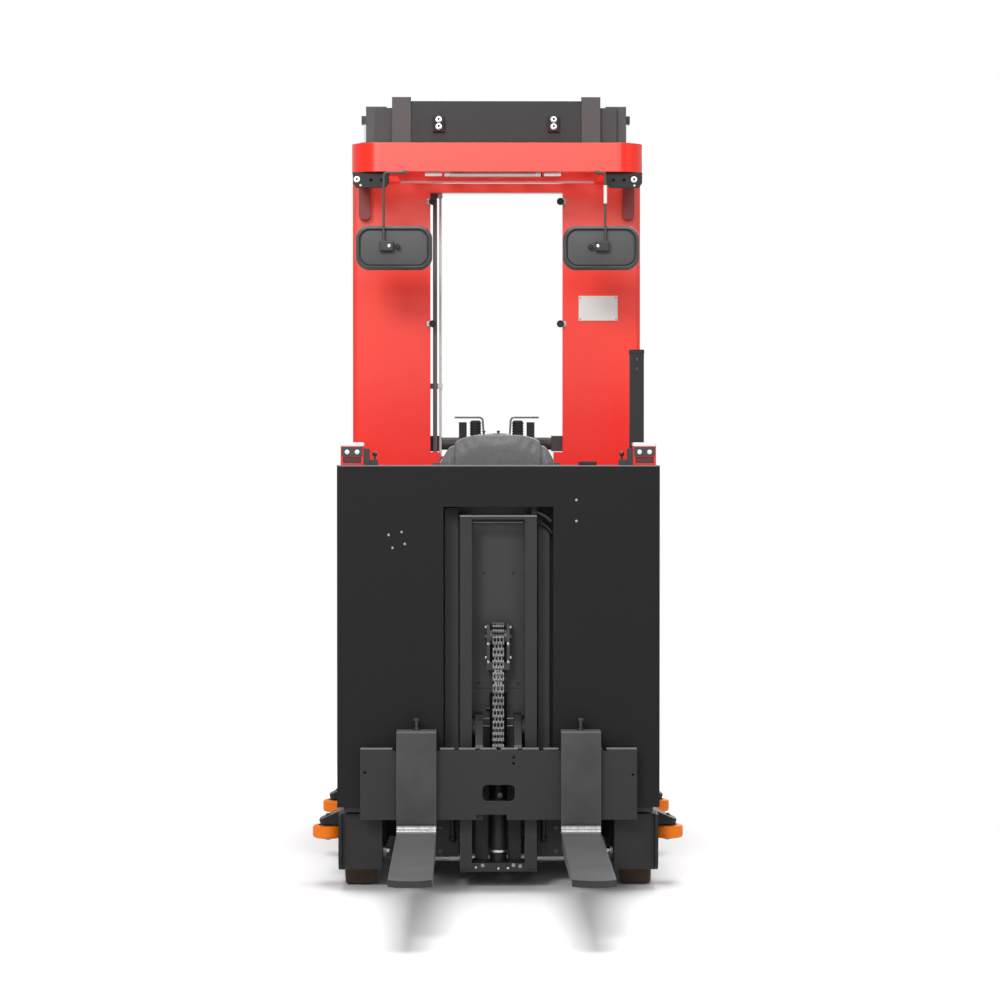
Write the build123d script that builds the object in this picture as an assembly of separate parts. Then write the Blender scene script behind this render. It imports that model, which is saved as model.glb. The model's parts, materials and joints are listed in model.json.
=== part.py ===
from build123d import *
import os

# Order picker with a rising cabin, a three-stage mast and a short second mast for its forks.
# Millimetres. X is to the right, Y runs from the fork tips to the tail, Z is up. The origin is on the
# floor, on the centre line, midway between the fork tips and the tail.

# Whole truck
body_length = 2250.0
truck_width = 994.0
blade_length = 1070.0
plate_gap = 35.0
carriage_thickness = 25.0
shank_thickness = 40.0
fork_reach = plate_gap + carriage_thickness + shank_thickness + blade_length
face_y = (fork_reach - body_length) / 2
tail_y = face_y + body_length
side_x = truck_width / 2
clearance = 6.0
running_gap = 0.3

# Straddle legs and load wheels
leg_bottom = 62.0
leg_top = 236.0
leg_outer_plate = 10.0
leg_inner_plate = 15.0
leg_top_plate = 12.0
leg_front_y = face_y + 10.0
leg_nose_setback = 34.0
leg_nose_plate = 12.0
leg_corner_radius = 40.0
wheel_width = 98.0
wheel_radius = 105.0
wheel_y = face_y + 180.0
wheel_x = side_x - leg_outer_plate - clearance - wheel_width / 2
leg_inner_x = wheel_x - wheel_width / 2 - clearance - leg_inner_plate
wheel_core_radius = 70.0
axle_radius = 20.0
wheel_bay_end_y = wheel_y + wheel_radius + 45.0

# Guide rollers beside the truck
guide_standout = 87.5
guide_radius = 48.0
guide_height = 41.0
guide_z = 166.0
guide_pin_radius = 10.0
guide_core_radius = 30.0
guide_front_y = wheel_y
guide_rear_y = face_y + 885.0
guide_x = side_x + guide_standout - guide_radius
guide_arm_corner = 14.0
guide_arm_width = 92.0
guide_arm_reach = 22.0
guide_arm_thickness = 14.0

# Power unit at the tail
plate = 12.0
deck_front_y = face_y + 880.0
frame_top = 430.0
tail_radius = 170.0
cover_skin = 5.0
cover_inset = 6.0
cover_gap = 8.0
battery_cover_top = 1100.0
tail_cover_top = 940.0
battery_length = 400.0
battery_width = 830.0
battery_height = 680.0

# Steered drive wheel
drive_y = face_y + 1880.0
drive_radius = 165.0
drive_width = 120.0
drive_core_radius = 120.0
yoke_plate = 20.0
yoke_disc_radius = 165.0
yoke_disc_thickness = 22.0
yoke_neck_radius = 90.0
motor_radius = 110.0
motor_height = 270.0
steer_clear_radius = 235.0

# Main mast: one section size, three nested stages
mast_front_y = face_y + 860.0
section_depth = 160.0
flange = 18.0
web = 12.0
stage_step_y = 25.0
outer_half_width = 439.0
outer_flange_width = 70.0
middle_half_width = 406.0
inner_half_width = 350.0
outer_top = 2525.0
middle_top = 2518.0
inner_top = 2552.0
mast_stroke = 1500.0
tie_height = 130.0
outer_y = mast_front_y + 2 * stage_step_y
middle_y = mast_front_y + stage_step_y
outer_web_x = outer_half_width - web
middle_web_x = outer_half_width - outer_flange_width - clearance - web
inner_web_x = middle_web_x - clearance - 2 * web - 13.0
inner_lip_x = inner_web_x - 22.0
beam_height = 138.0
beam_drop = 13.0
beam_top = inner_top - beam_drop
lift_radius = 36.0
lift_rod_radius = 24.0
lift_x = 430.0
lift_y = outer_y + section_depth + lift_radius + clearance
lift_top = 2420.0
rod_arm_top = 2510.0
rod_arm_thickness = 26.0
power_front_y = lift_y + lift_radius + 2 * clearance

# Cabin
floor_bottom = 245.0
floor_thickness = 45.0
cab_width = 1000.0
cab_half = cab_width / 2
cab_top = 1322.0
panel_bottom = 261.0
panel_skin = 8.0
panel_return = 200.0
panel_top_return = 70.0
well_width = 341.0
well_top = 1193.0
well_depth = 152.0
well_skin = 6.0
post_front_y = face_y + 740.0
post_depth = 50.0
post_half = 478.0
window_half = 220.0
sill_half = 190.0
sill_top = 1360.0
window_top = 2222.0
guard_bottom = 2255.0
guard_height = 92.0
guard_top = guard_bottom + guard_height
guard_half = 467.0
guard_front_y = face_y + 300.0
guard_rail = 55.0
guard_corner = 90.0
post_rear_y = post_front_y + post_depth
guard_rear_y = post_rear_y
floor_half = cab_half - panel_skin - 12.0
carriage_bar = 22.0
carriage_bar_x = inner_lip_x - 2 * clearance - carriage_bar / 2
carriage_bottom = 262.0
carriage_top = 870.0
mast_roller_width = 30.0

# Seat and console
seat_width = 400.0
seat_back_top = 1431.0
seat_back_bottom = 990.0
seat_back_thickness = 85.0
seat_back_y = face_y + well_depth + 60.0
cushion_top = 900.0
cushion_thickness = 80.0
cushion_depth = 240.0
console_top = 1325.0
console_bottom = 930.0
console_depth = 110.0
grip_x = 70.0
grip_radius = 17.0
grip_top = 1465.0

# Gates
gate_x = 434.0
gate_section = 44.0
gate_pivot_y = face_y + 125.0
gate_pivot_z = 1215.0
gate_length = 590.0 - 125.0
gate_pin_radius = 12.0

# Mirrors
mirror_x = 330.0
mirror_z = 2012.0
mirror_width = 246.0
mirror_height = 150.0
mirror_y = guard_front_y + 5.0
mirror_depth = 40.0
arm_radius = 6.0

# Second mast
aux_half = 120.0
aux_flange_width = 38.0
aux_web = 10.0
aux_flange = 12.0
aux_front_y = face_y + 22.0
aux_depth = 118.0
aux_bottom = 66.0
aux_top = 1166.0
aux_base_bottom = 57.0
aux_base_top = 84.0
aux_back_y = aux_front_y + aux_depth
aux_barrel_radius = 27.0
aux_rod_radius = 18.0
aux_axis_y = aux_front_y + 74.0
aux_barrel_top = 610.0
aux_rod_bottom = 250.0
crosshead_bottom = 682.0
crosshead_top = 831.0
crosshead_half = 36.0
crosshead_cheek = 10.0
chain_wheel_radius = 38.0
chain_width = 36.0
chain_pitch = 19.0
link_plate = 4.0
link_height = 15.0
aux_down = 130.0
aux_up = 600.0

# Fork carriage and forks
carriage_half = 427.0
carriage_bottom_z = 229.0
carriage_top_z = 450.0
slot_width = 100.0
slot_height = 50.0
slot_z = 312.0
roller_bar_top = 545.0
roller_bar_bottom = 225.0
roller_bar_half = 72.0
roller_bar_thickness = 24.0
fork_x = 253.0
fork_width = 122.0
blade_top = 194.0
tip_thickness = 18.0
shank_top = 505.0
heel_radius = 60.0
pin_radius = 6.0
pin_top = 543.0


def block(x, y, z):
    """A block between the low and high values on each axis."""
    size = Box(x[1] - x[0], y[1] - y[0], z[1] - z[0])
    return Pos((x[0] + x[1]) / 2, (y[0] + y[1]) / 2, (z[0] + z[1]) / 2) * size


def side_prism(outline, x):
    """An outline of (y, z) points carried along X."""
    face = make_face(Polyline(*outline, close=True))
    return extrude(Plane.YZ.offset(x[0]) * face, amount=x[1] - x[0])


def front_prism(outline, y):
    """An outline of (x, z) points carried along Y."""
    face = make_face(Polyline(*outline, close=True))
    return extrude(Plane.XZ.offset(-y[0]) * face, amount=y[0] - y[1])


def plan_prism(outline, z):
    """An outline of (x, y) points carried along Z."""
    face = make_face(Polyline(*outline, close=True))
    return extrude(Plane.XY.offset(z[0]) * face, amount=z[1] - z[0])


def bar_x(x, y, z, radius):
    """A round bar along X, between two stations."""
    return Pos((x[0] + x[1]) / 2, y, z) * Rot(0, 90, 0) * Cylinder(radius, x[1] - x[0])


def bar_y(x, y, z, radius):
    """A round bar along Y, between two stations."""
    return Pos(x, (y[0] + y[1]) / 2, z) * Rot(90, 0, 0) * Cylinder(radius, y[1] - y[0])


def bar_z(x, y, z, radius):
    """A round bar along Z, between two stations."""
    return Pos(x, y, (z[0] + z[1]) / 2) * Cylinder(radius, z[1] - z[0])


def mirrored(shape):
    """The same piece on the other side of the truck."""
    return mirror(shape, about=Plane.YZ)


def pair(shape):
    """The piece with its twin, as two solids that don't touch."""
    return Compound(children=[*shape.solids(), *mirrored(shape).solids()])


def joined_pair(shape, middle):
    """The piece and its twin, joined by what lies between them."""
    return shape + middle + mirrored(shape)


def rounded_plan(half_width, y, z, radius, front_radius=0.0):
    """A block with round upright corners at its rear, and at its front if asked."""
    body = block((-half_width, half_width), y, z)
    rear = body.edges().filter_by(Axis.Z).group_by(Axis.Y)[-1]
    body = fillet(rear, radius)
    if front_radius:
        front = body.edges().filter_by(Axis.Z).group_by(Axis.Y)[0]
        body = fillet(front, front_radius)
    return body


# Straddle leg: two side plates under a top plate, a nose plate, and a bay for the wheel.
def leg():
    rear_y = power_front_y
    outer_x = (side_x - leg_outer_plate, side_x)
    inner_x = (leg_inner_x, leg_inner_x + leg_inner_plate)
    nose_y = leg_front_y + leg_nose_setback
    outer = block(outer_x, (leg_front_y, rear_y), (leg_bottom, leg_top))
    low_front = outer.edges().filter_by(Axis.X).group_by(Axis.Y)[0].sort_by(Axis.Z)[0]
    outer = fillet(low_front, leg_corner_radius)
    inner = block(inner_x, (nose_y, rear_y), (leg_bottom, leg_top))
    span = (inner_x[0], side_x)
    top = block(span, (nose_y, rear_y), (leg_top - leg_top_plate, leg_top))
    nose = block(span, (nose_y, nose_y + leg_nose_plate), (leg_bottom, leg_top))
    rib = block(span, (wheel_bay_end_y, wheel_bay_end_y + plate), (leg_bottom, leg_top))
    shape = outer + inner + top + nose + rib
    gap = clearance
    for roller_y in (guide_front_y, guide_rear_y):
        slot_y = (roller_y - guide_radius - gap, roller_y + guide_radius + gap)
        slot_z = (guide_z - guide_height / 2 - gap, guide_z + guide_height / 2 + gap)
        shape -= block((side_x - leg_outer_plate - gap, side_x + gap), slot_y, slot_z)
    axle_reach = (inner_x[0] - gap, side_x + gap)
    shape -= bar_x(axle_reach, wheel_y, wheel_radius, axle_radius)
    return shape


def load_axles():
    axle = bar_x((leg_inner_x - 4.0, side_x), wheel_y, wheel_radius, axle_radius)
    cap = bar_x((leg_inner_x - 10.0, leg_inner_x), wheel_y, wheel_radius, axle_radius + 8.0)
    return pair(axle + cap)


def load_wheel():
    """A cast core with a crowned tread around it, bored for its axle."""
    half = wheel_width / 2
    crown = 3.0
    outline = [
        (axle_radius + running_gap, -half),
        (wheel_core_radius - 22.0, -half),
        (wheel_core_radius - 18.0, -half + 8.0),
        (wheel_core_radius - 4.0, -half + 8.0),
        (wheel_core_radius, -half + 2.0),
        (wheel_radius - crown, -half + 2.0),
        (wheel_radius, -half + 2.0 + 2 * crown),
    ]
    mirrored_side = [(radius, -station) for radius, station in reversed(outline)]
    profile = make_face(Polyline(*outline, *mirrored_side, close=True))
    ring = revolve(Plane.XZ * profile, axis=Axis.Z)
    return Pos(wheel_x, wheel_y, wheel_radius) * Rot(0, 90, 0) * ring


# Guide roller: a thick soft tread on a dished core, turning on an upright pin.
def guide_roller(x, y):
    half = guide_height / 2
    round_edge = 9.0
    outline = [
        (guide_pin_radius + running_gap, -half + 3.0),
        (guide_core_radius - 8.0, -half + 3.0),
        (guide_core_radius - 5.0, -half + 6.0),
        (guide_core_radius, -half + 6.0),
        (guide_core_radius, -half),
        (guide_radius - round_edge, -half),
        (guide_radius - 2.5, -half + 2.5),
        (guide_radius, -half + round_edge),
    ]
    upper = [(radius, -station) for radius, station in reversed(outline)]
    profile = make_face(Polyline(*outline, *upper, close=True))
    return Pos(x, y, guide_z) * revolve(Plane.XZ * profile, axis=Axis.Z)


def guide_arm(y):
    """A wedge that stands out over a roller and holds its pin."""
    roller_top = guide_z + guide_height / 2
    low = roller_top + 5.0
    tip_x = guide_x + guide_arm_reach
    outline = [
        (side_x, low),
        (tip_x, low),
        (tip_x + 4.0, low + guide_arm_thickness),
        (side_x, leg_top - 2.0),
    ]
    half = guide_arm_width / 2
    wedge = front_prism(outline, (y - half, y + half))
    uprights = wedge.edges().filter_by(Axis.Z).group_by(Axis.X)[0]
    tip_edges = [e for e in wedge.edges() if e.center().X > tip_x - 1.0 and abs(e.tangent_at(0.5).Y) < 0.5]
    if len(tip_edges) >= 2 and uprights:
        wedge = chamfer(tip_edges, guide_arm_corner)
    pin_low = guide_z - guide_height / 2 - 1.0
    pin = bar_z(guide_x, y, (pin_low, low + 4.0), guide_pin_radius)
    collar = bar_z(guide_x, y, (roller_top - 2.0, low + 2.0), guide_pin_radius + 7.0)
    washer = bar_z(guide_x, y, (pin_low - 3.0, pin_low + 2.5), guide_pin_radius + 6.0)
    return wedge + pin + collar + washer


def guide_arms():
    front = guide_arm(guide_front_y)
    rear = guide_arm(guide_rear_y)
    return Compound(children=[*pair(front).solids(), *pair(rear).solids()])


# Chassis: deck under the mast, side walls that turn round the tail, battery bay and steering plate.
def chassis_frame():
    inner_x = leg_inner_x
    deck = block((-inner_x, inner_x), (deck_front_y, power_front_y), (leg_bottom, leg_top))
    hollow = block(
        (-inner_x + plate, inner_x - plate),
        (deck_front_y + plate, power_front_y - plate),
        (leg_bottom + plate, leg_top - plate),
    )
    deck -= hollow
    wall = rounded_plan(side_x, (power_front_y, tail_y), (leg_bottom, frame_top), tail_radius)
    inside = rounded_plan(
        side_x - plate, (power_front_y + plate, tail_y - plate), (leg_bottom, frame_top), tail_radius - plate
    )
    ring = wall - inside
    pan = rounded_plan(
        side_x - plate / 2,
        (power_front_y + plate / 2, tail_y - plate / 2),
        (leg_bottom, leg_bottom + plate),
        tail_radius - plate / 2,
    )
    bay = bar_z(0, drive_y, (leg_bottom - 1.0, leg_bottom + plate + 1.0), steer_clear_radius)
    pan -= bay
    bulkhead_y = power_front_y + battery_length + 3 * plate
    bulkhead = block((-side_x + plate / 2, side_x - plate / 2), (bulkhead_y, bulkhead_y + plate),
                     (leg_bottom, frame_top))
    top_front_y = bulkhead_y + plate / 2
    steer_plate = rounded_plan(
        side_x - plate / 2, (top_front_y, tail_y - plate / 2), (frame_top - plate, frame_top),
        tail_radius - plate / 2,
    )
    neck_hole = bar_z(0, drive_y, (frame_top - 2 * plate, frame_top + plate), yoke_neck_radius + clearance)
    steer_plate -= neck_hole
    return deck + ring + pan + bulkhead + steer_plate


def battery():
    low_y = power_front_y + 1.5 * plate
    low_z = leg_bottom + plate
    return block((-battery_width / 2, battery_width / 2), (low_y, low_y + battery_length),
                 (low_z, low_z + battery_height))


def shell(outer, inner):
    """A sheet cover: its outside less its inside."""
    return outer - inner


def battery_cover():
    half = side_x - cover_inset
    y = (power_front_y + cover_inset, power_front_y + battery_length + 3 * plate)
    skin = cover_skin
    outer = rounded_plan(half, y, (frame_top, battery_cover_top), 18.0, 40.0)
    brow = outer.edges().group_by(Axis.Z)[-1]
    outer = fillet(brow, 15.0)
    inner = block((-half + skin, half - skin), (y[0] + skin, y[1] - skin), (frame_top - 1.0, battery_cover_top - skin))
    uprights = inner.edges().filter_by(Axis.Z)
    inner = fillet(uprights, 12.0)
    return shell(outer, inner)


def tail_cover():
    """A hood whose top slopes down to a round tail."""
    half = side_x - cover_inset
    y = (power_front_y + battery_length + 3 * plate + cover_gap, tail_y - cover_inset)
    skin = cover_skin
    radius = tail_radius - cover_inset
    outer = rounded_plan(half, y, (frame_top, tail_cover_top), radius)
    inner = rounded_plan(half - skin, (y[0] + skin, y[1] - skin), (frame_top - 1.0, tail_cover_top - skin),
                         radius - skin)
    slope_start = y[0] + 190.0
    drop = 210.0
    cut = side_prism(
        [(slope_start, tail_cover_top), (y[1] + 1.0, tail_cover_top - drop), (y[1] + 1.0, tail_cover_top + 1.0),
         (slope_start, tail_cover_top + 1.0)],
        (-half - 1.0, half + 1.0),
    )
    outer -= cut
    inner -= Pos(0, 0, -skin) * cut
    hood = shell(outer, inner)
    return hood


# Drive unit: a yoke with its disc and neck, an upright motor, and the driven wheel between the cheeks.
def drive_yoke():
    cheek_x = drive_width / 2 + clearance
    disc_low = 2 * drive_radius + 22.0
    outline = [
        (drive_y - 60.0, drive_radius - 50.0),
        (drive_y + 60.0, drive_radius - 50.0),
        (drive_y + 110.0, disc_low),
        (drive_y - 110.0, disc_low),
    ]
    cheek = side_prism(outline, (cheek_x, cheek_x + yoke_plate))
    disc = bar_z(0, drive_y, (disc_low, disc_low + yoke_disc_thickness), yoke_disc_radius)
    neck = bar_z(0, drive_y, (disc_low, frame_top + clearance), yoke_neck_radius)
    stub = bar_x((0, cheek_x + yoke_plate + 6.0), drive_y, drive_radius, axle_radius)
    return joined_pair(cheek + stub, disc + neck)


def drive_motor():
    low = frame_top + clearance
    body = bar_z(0, drive_y, (low, low + motor_height), motor_radius)
    crown = body.edges().group_by(Axis.Z)[-1]
    return chamfer(crown, 12.0)


def drive_wheel():
    half = drive_width / 2
    outline = [
        (axle_radius + running_gap, -half + 4.0),
        (drive_core_radius - 70.0, -half + 4.0),
        (drive_core_radius - 60.0, -half + 26.0),
        (drive_core_radius - 16.0, -half + 26.0),
        (drive_core_radius, -half + 6.0),
        (drive_core_radius, -half),
        (drive_radius - 5.0, -half),
        (drive_radius, -half + 8.0),
    ]
    upper = [(radius, -station) for radius, station in reversed(outline)]
    profile = make_face(Polyline(*outline, *upper, close=True))
    ring = revolve(Plane.XZ * profile, axis=Axis.Z)
    return Pos(0, drive_y, drive_radius) * Rot(0, 90, 0) * ring


# Main mast stages
def stage_beam(front_y, x_web, web_width, front_x, rear_x, z):
    """One upright: a web with a front flange and a rear flange, each from its own X to its own X."""
    rear_y = front_y + section_depth
    beam = block((x_web, x_web + web_width), (front_y, rear_y), z)
    beam += block(front_x, (front_y, front_y + flange), z)
    beam += block(rear_x, (rear_y - flange, rear_y), z)
    return beam


def outer_mast():
    z = (leg_top, outer_top)
    span = (outer_half_width - outer_flange_width, outer_half_width)
    beam = stage_beam(outer_y, outer_web_x, web, span, span, z)
    rear_y = outer_y + section_depth
    tie_x = (-span[0], span[0])
    tie_y = (rear_y - flange, rear_y)
    low_tie = block(tie_x, tie_y, (leg_top, leg_top + tie_height))
    high_tie = block(tie_x, tie_y, (outer_top - 104.0 - tie_height, outer_top - 104.0))
    return joined_pair(beam, low_tie + high_tie)


def middle_mast():
    z = (leg_top + 10.0, middle_top)
    lip = middle_web_x - 30.0
    rear_reach = outer_web_x - clearance - 2.0
    beam = stage_beam(middle_y, middle_web_x, web, (lip, middle_half_width), (lip, rear_reach), z)
    rear_y = middle_y + section_depth
    tie_x = (-lip, lip)
    tie_y = (rear_y - flange, rear_y)
    low_tie = block(tie_x, tie_y, (z[0], z[0] + tie_height))
    high_tie = block(tie_x, tie_y, (middle_top - tie_height - 30.0, middle_top - 30.0))
    arm_z = (rod_arm_top - rod_arm_thickness, rod_arm_top)
    back_y = lift_y + lift_radius - 6.0
    arm_outline = [
        (lip, tie_y[0]),
        (middle_web_x + web, tie_y[0]),
        (middle_web_x + web, outer_y + section_depth + clearance),
        (lift_x + lift_radius - 6.0, outer_y + section_depth + clearance),
        (lift_x + lift_radius - 6.0, back_y),
        (lip, back_y),
    ]
    arm = plan_prism(arm_outline, arm_z)
    return joined_pair(beam + arm, low_tie + high_tie)


def inner_mast():
    z = (leg_top + 20.0, inner_top)
    rear_reach = middle_web_x - clearance - 1.0
    beam = stage_beam(mast_front_y, inner_web_x, 13.0, (inner_lip_x, inner_half_width), (inner_lip_x, rear_reach), z)
    rear_y = mast_front_y + section_depth
    tie_x = (-inner_lip_x, inner_lip_x)
    tie_y = (rear_y - flange, rear_y)
    low_tie = block(tie_x, tie_y, (z[0], z[0] + tie_height))
    high_tie = block(tie_x, tie_y, (inner_top - 120.0 - tie_height, inner_top - 120.0))
    crossbeam = block(tie_x, (mast_front_y + 6.0, mast_front_y + 22.0), (beam_top - beam_height, beam_top))
    return joined_pair(beam, low_tie + high_tie + crossbeam)


def stop_blocks():
    """Rubber-faced stops bolted to the front of the top crossbeam."""
    x = 193.0
    face = mast_front_y + 6.0
    pad = block((x - 19.0, x + 19.0), (face - 16.0, face), (beam_top - 104.0, beam_top - 54.0))
    return pair(pad)


def lift_barrels():
    barrel = bar_z(lift_x, lift_y, (leg_top, lift_top), lift_radius)
    foot = bar_z(lift_x, lift_y, (leg_top, leg_top + 24.0), lift_radius + 5.0)
    gland = bar_z(lift_x, lift_y, (lift_top - 40.0, lift_top), lift_radius + 3.0)
    bore = bar_z(lift_x, lift_y, (leg_top + 12.0, lift_top + 1.0), lift_rod_radius + running_gap)
    return pair(barrel + foot + gland - bore)


def lift_rods():
    rod = bar_z(lift_x, lift_y, (leg_top + 24.0, rod_arm_top - rod_arm_thickness), lift_rod_radius)
    return pair(rod)


# Cabin: carriage in the mast
def cab_carriage():
    z = (carriage_bottom, carriage_top)
    bar_low = carriage_bar_x - carriage_bar / 2
    bar_high = carriage_bar_x + carriage_bar / 2
    roller_y = mast_front_y + section_depth / 2
    bar = block((bar_low, bar_high), (post_rear_y, roller_y + 46.0), z)
    roller_radius = (section_depth - 2 * flange) / 2 - 4.0
    roller_x = (bar_high, inner_web_x - clearance)
    side = bar
    for roller_z in (z[0] + 68.0, z[1] - 68.0):
        side += bar_x(roller_x, roller_y, roller_z, roller_radius)
    sheet = (post_rear_y, post_rear_y + 18.0)
    low_plate = block((-bar_low, bar_low), sheet, (z[0], z[0] + 150.0))
    high_plate = block((-bar_low, bar_low), sheet, (z[1] - 150.0, z[1]))
    return joined_pair(side, low_plate + high_plate)


def cab_floor():
    well_half = well_width / 2 + well_skin
    front = face_y + panel_skin
    outline = [
        (-floor_half, front),
        (-well_half, front),
        (-well_half, face_y + well_depth + well_skin),
        (well_half, face_y + well_depth + well_skin),
        (well_half, front),
        (floor_half, front),
        (floor_half, post_rear_y),
        (-floor_half, post_rear_y),
    ]
    return plan_prism(outline, (floor_bottom, floor_bottom + floor_thickness))


def front_panel():
    """A folded sheet with side and top returns, notched for the second mast."""
    outer = block((-cab_half, cab_half), (face_y, face_y + panel_return), (panel_bottom, cab_top))
    inner = block(
        (-cab_half + panel_skin, cab_half - panel_skin),
        (face_y + panel_skin, face_y + panel_return + 1.0),
        (panel_bottom - 1.0, cab_top - panel_skin),
    )
    sheet = outer - inner
    back_cut = block(
        (-cab_half + panel_skin, cab_half - panel_skin),
        (face_y + panel_top_return, face_y + panel_return + 1.0),
        (cab_top - panel_skin - 1.0, cab_top + 1.0),
    )
    notch = block((-well_width / 2, well_width / 2), (face_y - 1.0, face_y + panel_skin + 1.0),
                  (panel_bottom - 1.0, well_top))
    sheet = sheet - back_cut - notch
    hole_table = [(-340.0, 1106.0), (-300.0, 1115.0), (-328.0, 1066.0), (-290.0, 1078.0), (241.5, 1214.0),
                  (241.5, 1149.0)]
    for hole_x, hole_z in hole_table:
        sheet -= bar_y(hole_x, (face_y - 1.0, face_y + panel_skin + 1.0), hole_z, 4.0)
    return sheet


def mast_well():
    """The three-sided recess behind the notch, with the two flat runners beside the second mast."""
    half = well_width / 2
    back_y = face_y + well_depth
    front = face_y + panel_skin
    low = floor_bottom + 1.0
    outer = block((-half - well_skin, half + well_skin), (front, back_y + well_skin), (low, well_top + well_skin))
    inner = block((-half, half), (front - 1.0, back_y), (low - 1.0, well_top))
    well = outer - inner
    runner_table = [(-145.5, 43.0, well_top - 6.0), (143.0, 36.0, 1135.0)]
    for runner_x, runner_width, runner_top in runner_table:
        x = (runner_x - runner_width / 2, runner_x + runner_width / 2)
        well += block(x, (back_y - 40.0, back_y), (low, runner_top))
    return well


def rear_post(side):
    """A broad folded post: window edge above, wider sill below, a turned outer edge."""
    outline = [
        (post_half, floor_bottom + floor_thickness),
        (post_half, guard_bottom),
        (window_half, guard_bottom),
        (window_half, sill_top),
        (sill_half, sill_top),
        (sill_half, floor_bottom + floor_thickness),
    ]
    post = front_prism(outline, (post_front_y, post_rear_y))
    outer_edge = [
        e for e in post.edges().filter_by(Axis.Z)
        if e.center().X > post_half - 1.0 and e.center().Y < post_front_y + 1.0
    ]
    post = chamfer(outer_edge, 13.0)
    return post if side > 0 else mirrored(post)


def post_tie():
    """The plates that join the two posts, over the window and behind the console."""
    over = block((-window_half, window_half), (post_front_y, post_rear_y), (window_top, guard_bottom))
    under = block((-sill_half, sill_half), (post_front_y + 30.0, post_rear_y),
                  (floor_bottom + floor_thickness, console_top - 15.0))
    return Compound(children=[*over.solids(), *under.solids()])


def overhead_guard():
    """A deep rail round the roof with longitudinal bars in it, and brackets down to the posts."""
    outer = rounded_plan(guard_half, (guard_front_y, guard_rear_y), (guard_bottom, guard_top), 20.0, guard_corner)
    inner = rounded_plan(
        guard_half - guard_rail,
        (guard_front_y + guard_rail, guard_rear_y - guard_rail),
        (guard_bottom - 1.0, guard_top + 1.0),
        8.0,
        guard_corner - guard_rail,
    )
    ring = outer - inner
    bar_y_span = (guard_front_y + guard_rail / 2, guard_rear_y - guard_rail / 2)
    bar_half = 11.0
    bar_count = 6
    pitch = 2 * (guard_half - guard_rail) / (bar_count + 1)
    for index in range(bar_count):
        bar_x_centre = -guard_half + guard_rail + pitch * (index + 1)
        ring += block((bar_x_centre - bar_half, bar_x_centre + bar_half), bar_y_span, (guard_top - 55.0, guard_top - 12.0))
    hanger_z = (guard_bottom - 125.0, guard_bottom)
    hanger = block((post_half - 60.0, post_half - 22.0), (post_front_y - 40.0, post_front_y), hanger_z)
    foot = hanger.edges().filter_by(Axis.Y).group_by(Axis.Z)[0]
    hanger = fillet(foot, 14.0)
    ring += hanger + mirrored(hanger)
    return ring


def roof_beam():
    """The cross member under the roof, narrower below than above, with the lamp bar in front of it."""
    top_half = 323.0
    low_half = 312.0
    y = (guard_front_y + 150.0, guard_front_y + 190.0)
    low = guard_bottom - 24.0
    outline = [(-top_half, guard_bottom), (top_half, guard_bottom), (low_half, low), (-low_half, low)]
    beam = front_prism(outline, y)
    rail_x = guard_half - guard_rail
    bearer = block((-rail_x, rail_x), y, (guard_bottom, guard_bottom + 30.0))
    return beam + bearer


def roof_lamp():
    y = guard_front_y + guard_rail / 2
    tube = bar_x((-170.0, 140.0), y, guard_bottom - 8.0, 7.0)
    for foot_x in (-160.0, 130.0):
        tube += block((foot_x - 8.0, foot_x + 8.0), (y - 9.0, y + 9.0), (guard_bottom - 14.0, guard_bottom))
    return tube


# Mirrors on bent rods under the front rail
def mirror_head(side):
    half_w = mirror_width / 2
    half_h = mirror_height / 2
    body = block((mirror_x - half_w, mirror_x + half_w), (mirror_y - mirror_depth / 2, mirror_y + mirror_depth / 2),
                 (mirror_z - half_h, mirror_z + half_h))
    body = fillet(body.edges().filter_by(Axis.Y), 34.0)
    back = body.faces().sort_by(Axis.Y)[0]
    body = fillet(back.edges(), 12.0)
    return body if side > 0 else mirrored(body)


def mirror_arms():
    """Each rod hangs from the rail, drops behind its mirror's clamp and ends in a clamp block."""
    shapes = []
    arm_table = [(-1, 362.0, 296.0), (1, 342.0, 316.0)]
    y = mirror_y - mirror_depth / 2 - arm_radius - 6.0
    rail_z = guard_bottom + 10.0
    for side, drop_x, rail_x in arm_table:
        clamp_z = mirror_z + 6.0
        bend_z = guard_bottom - 7.0
        drop = bar_z(side * drop_x, y, (clamp_z - 12.0, bend_z), arm_radius)
        reach = bar_x(tuple(sorted((side * drop_x, side * rail_x))), y, bend_z, arm_radius)
        knee = Pos(side * drop_x, y, bend_z) * Sphere(arm_radius)
        foot = block(tuple(sorted((side * rail_x - side * 9.0, side * rail_x + side * 9.0))), (y - 9.0, guard_front_y),
                     (bend_z - 7.0, rail_z))
        clamp_x = tuple(sorted((side * drop_x - 14.0, side * drop_x + 14.0)))
        clamp = block(clamp_x, (y - 12.0, mirror_y - mirror_depth / 2), (clamp_z - 16.0, clamp_z + 16.0))
        shapes.extend((drop + reach + knee + foot + clamp).solids())
    return Compound(children=shapes)


# Seat against the well, console against the posts
def seat_back():
    half = seat_width / 2
    shape = block((-half, half), (seat_back_y, seat_back_y + seat_back_thickness), (seat_back_bottom, seat_back_top))
    top = shape.edges().filter_by(Axis.Y).group_by(Axis.Z)[-1]
    shape = fillet(top, 140.0)
    front = shape.faces().sort_by(Axis.Y)[-1]
    return fillet(front.edges(), 20.0)


def seat_cushion():
    half = seat_width / 2
    low_y = seat_back_y + seat_back_thickness + 4.0 - 60.0
    shape = block((-half, half), (low_y, low_y + cushion_depth), (cushion_top - cushion_thickness, cushion_top))
    shape = fillet(shape.edges().filter_by(Axis.Z), 40.0)
    top = shape.faces().sort_by(Axis.Z)[-1]
    return fillet(top.edges(), 20.0)


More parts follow.
